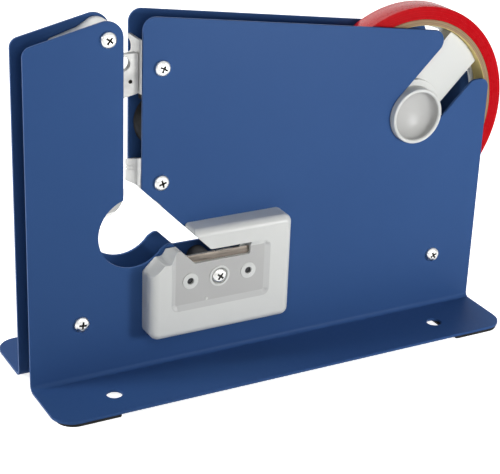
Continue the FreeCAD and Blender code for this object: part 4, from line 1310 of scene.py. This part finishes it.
@dataclass
class Studio:
    """Plain pale floor, soft light and the camera.

    Attributes:
        shop: Modelling steps and finishes.
        eye: Place of the camera, in the maker's millimetres.
        yaw: Turn of the camera to the right, in degrees.
        pitch: Turn of the camera downwards, in degrees.
        roll: Tilt of the camera, in degrees.
        lens: Focal length in millimetres.
        sensor: Width of the sensor in millimetres.
        clip: Nearest and farthest distance that shows, in metres.
        sky: Strength of the light from all around.
        sky_colour: Colour of that light.
        floor_size: Side of the floor in metres.
        floor_colour: Grey level of the floor.
        floor_roughness: Roughness of the floor.
        floor_specular: Level of the floor's mirror reflection.
        floor_glow: Brightness that the floor adds where it is seen.
        lamps: The lamps.
    """

    shop: Workshop
    eye: tuple[float, float, float] = (-175.17, -491.28, 298.63)
    yaw: float = 28.97
    pitch: float = 23.91
    roll: float = 2.29
    lens: float = 106.97
    sensor: float = 36.0
    clip: tuple[float, float] = (0.01, 20.0)
    sky: float = 0.03
    sky_colour: Colour = (0.95, 0.97, 1.0)
    floor_size: float = 6.0
    floor_colour: float = 0.82
    floor_roughness: float = 0.9
    floor_specular: float = 0.1
    floor_glow: float = 0.86
    lamps: tuple[Lamp, ...] = (
        Lamp("front_left", (-0.12, -0.20, 0.20), (-0.12, 0.0, 0.20), 0.12, 0.20),
        Lamp("front_low", (0.04, -0.20, 0.12), (0.04, 0.0, 0.12), 0.12, 0.05),
        Lamp("front_right", (0.20, -0.36, 0.12), (0.20, 0.0, 0.12), 0.12, 0.96),
        Lamp("left", (-1.0, 0.20, 0.45), (0.0, 0.0, 0.08), 0.3, 8.0),
        Lamp("back", (0.3, 0.9, 0.8), (0.0, 0.0, 0.08), 0.8, 8.5, mirrored=False),
        Lamp("top", (0.1, 0.0, 1.0), (0.0, 0.0, 0.08), 0.8, 0.4))

    def backdrop(self) -> None:
        """White behind the object for the camera and for reflections, grey for lighting."""
        world = bpy.data.worlds.new("studio")
        bpy.context.scene.world = world
        world.use_nodes = True
        tree = world.node_tree
        light = tree.nodes["Background"]
        light.inputs["Color"].default_value = (*self.sky_colour, 1.0)
        light.inputs["Strength"].default_value = self.sky
        white = tree.nodes.new("ShaderNodeBackground")
        white.inputs["Strength"].default_value = 1.0
        white.inputs["Color"].default_value = (1.0, 1.0, 1.0, 1.0)
        path = tree.nodes.new("ShaderNodeLightPath")
        seen = path.outputs["Is Camera Ray"]
        for ray in ("Is Glossy Ray", "Is Transmission Ray"):
            either = tree.nodes.new("ShaderNodeMath")
            either.operation = "MAXIMUM"
            tree.links.new(seen, either.inputs[0])
            tree.links.new(path.outputs[ray], either.inputs[1])
            seen = either.outputs[0]
        mix = tree.nodes.new("ShaderNodeMixShader")
        tree.links.new(seen, mix.inputs[0])
        tree.links.new(light.outputs[0], mix.inputs[1])
        tree.links.new(white.outputs[0], mix.inputs[2])
        tree.links.new(mix.outputs[0], tree.nodes["World Output"].inputs[0])

    def floor(self) -> None:
        """Pale floor that is white to the camera and in reflections, with the soft shadow."""
        bpy.ops.object.select_all(action="DESELECT")
        bpy.ops.mesh.primitive_plane_add(size=self.floor_size, location=(0.0, 0.0, 0.0))
        floor = bpy.context.object
        floor.name = floor.data.name = "studio_floor"
        graph = Graph("pale floor")
        graph.set("Base Color", (self.floor_colour,) * 3 + (1.0,))
        graph.set("Roughness", self.floor_roughness)
        graph.set("Specular IOR Level", self.floor_specular)
        glow = graph.add("ShaderNodeEmission")
        rays = graph.add("ShaderNodeLightPath").outputs
        seen = graph.math("MAXIMUM", rays["Is Camera Ray"], rays["Is Glossy Ray"])
        seen = graph.math("MAXIMUM", seen, rays["Is Transmission Ray"])
        graph.feed(glow.inputs["Strength"], graph.math("MULTIPLY", seen, self.floor_glow))
        both = graph.add("ShaderNodeAddShader")
        graph.feed(both.inputs[0], graph.shader.outputs[0])
        graph.feed(both.inputs[1], glow.outputs[0])
        graph.feed(graph.tree.nodes["Material Output"].inputs["Surface"], both.outputs[0])
        floor.data.materials.append(graph.material)

    def lights(self) -> None:
        """Soft lamps that face the object and stay out of the picture."""
        for lamp in self.lamps:
            data = bpy.data.lights.new(lamp.name, "AREA")
            data.size, data.energy = lamp.size, lamp.power
            holder = bpy.data.objects.new(lamp.name, data)
            holder.location = lamp.spot
            holder.visible_camera = False
            holder.visible_glossy = lamp.mirrored
            way = Vector(lamp.aim) - Vector(lamp.spot)
            holder.rotation_euler = way.to_track_quat("-Z", "Y").to_euler()
            bpy.context.scene.collection.objects.link(holder)

    def camera(self) -> None:
        """Camera in front on the left, above the object."""
        yaw, pitch, roll = (math.radians(a) for a in (self.yaw, self.pitch, self.roll))
        ahead = Vector((math.sin(yaw) * math.cos(pitch), math.cos(yaw) * math.cos(pitch),
                        -math.sin(pitch)))
        right = Vector((math.cos(yaw), -math.sin(yaw), 0.0))
        up = right.cross(ahead)
        level = math.cos(roll) * right + math.sin(roll) * up
        upright = math.cos(roll) * up - math.sin(roll) * right
        data = bpy.data.cameras.new("view")
        data.sensor_width = self.sensor
        data.lens = self.lens
        data.clip_start, data.clip_end = self.clip
        eye = bpy.data.objects.new("view", data)
        turn = Matrix((level, upright, -ahead)).transposed().to_4x4()
        eye.matrix_world = Matrix.Translation(self.shop.place(*self.eye)) @ turn
        bpy.context.scene.collection.objects.link(eye)
        bpy.context.scene.camera = eye

    def build(self) -> None:
        """Set the stage."""
        self.backdrop()
        self.floor()
        self.lights()
        self.camera()
        bpy.context.scene.view_settings.view_transform = "Standard"


def main() -> None:
    """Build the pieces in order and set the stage."""
    logging.basicConfig(level=logging.INFO, format="%(name)s: %(message)s")
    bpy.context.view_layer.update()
    low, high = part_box("tape_core")
    shop = Workshop(finishes((low + high) / 2))
    for assembly in (BaseFrame(shop), Screws(shop), TapeRoll(shop), TapePath(shop),
                     PresserLever(shop), TrimCutter(shop), Studio(shop)):
        assembly.build()


if __name__ == "__main__":
    main()
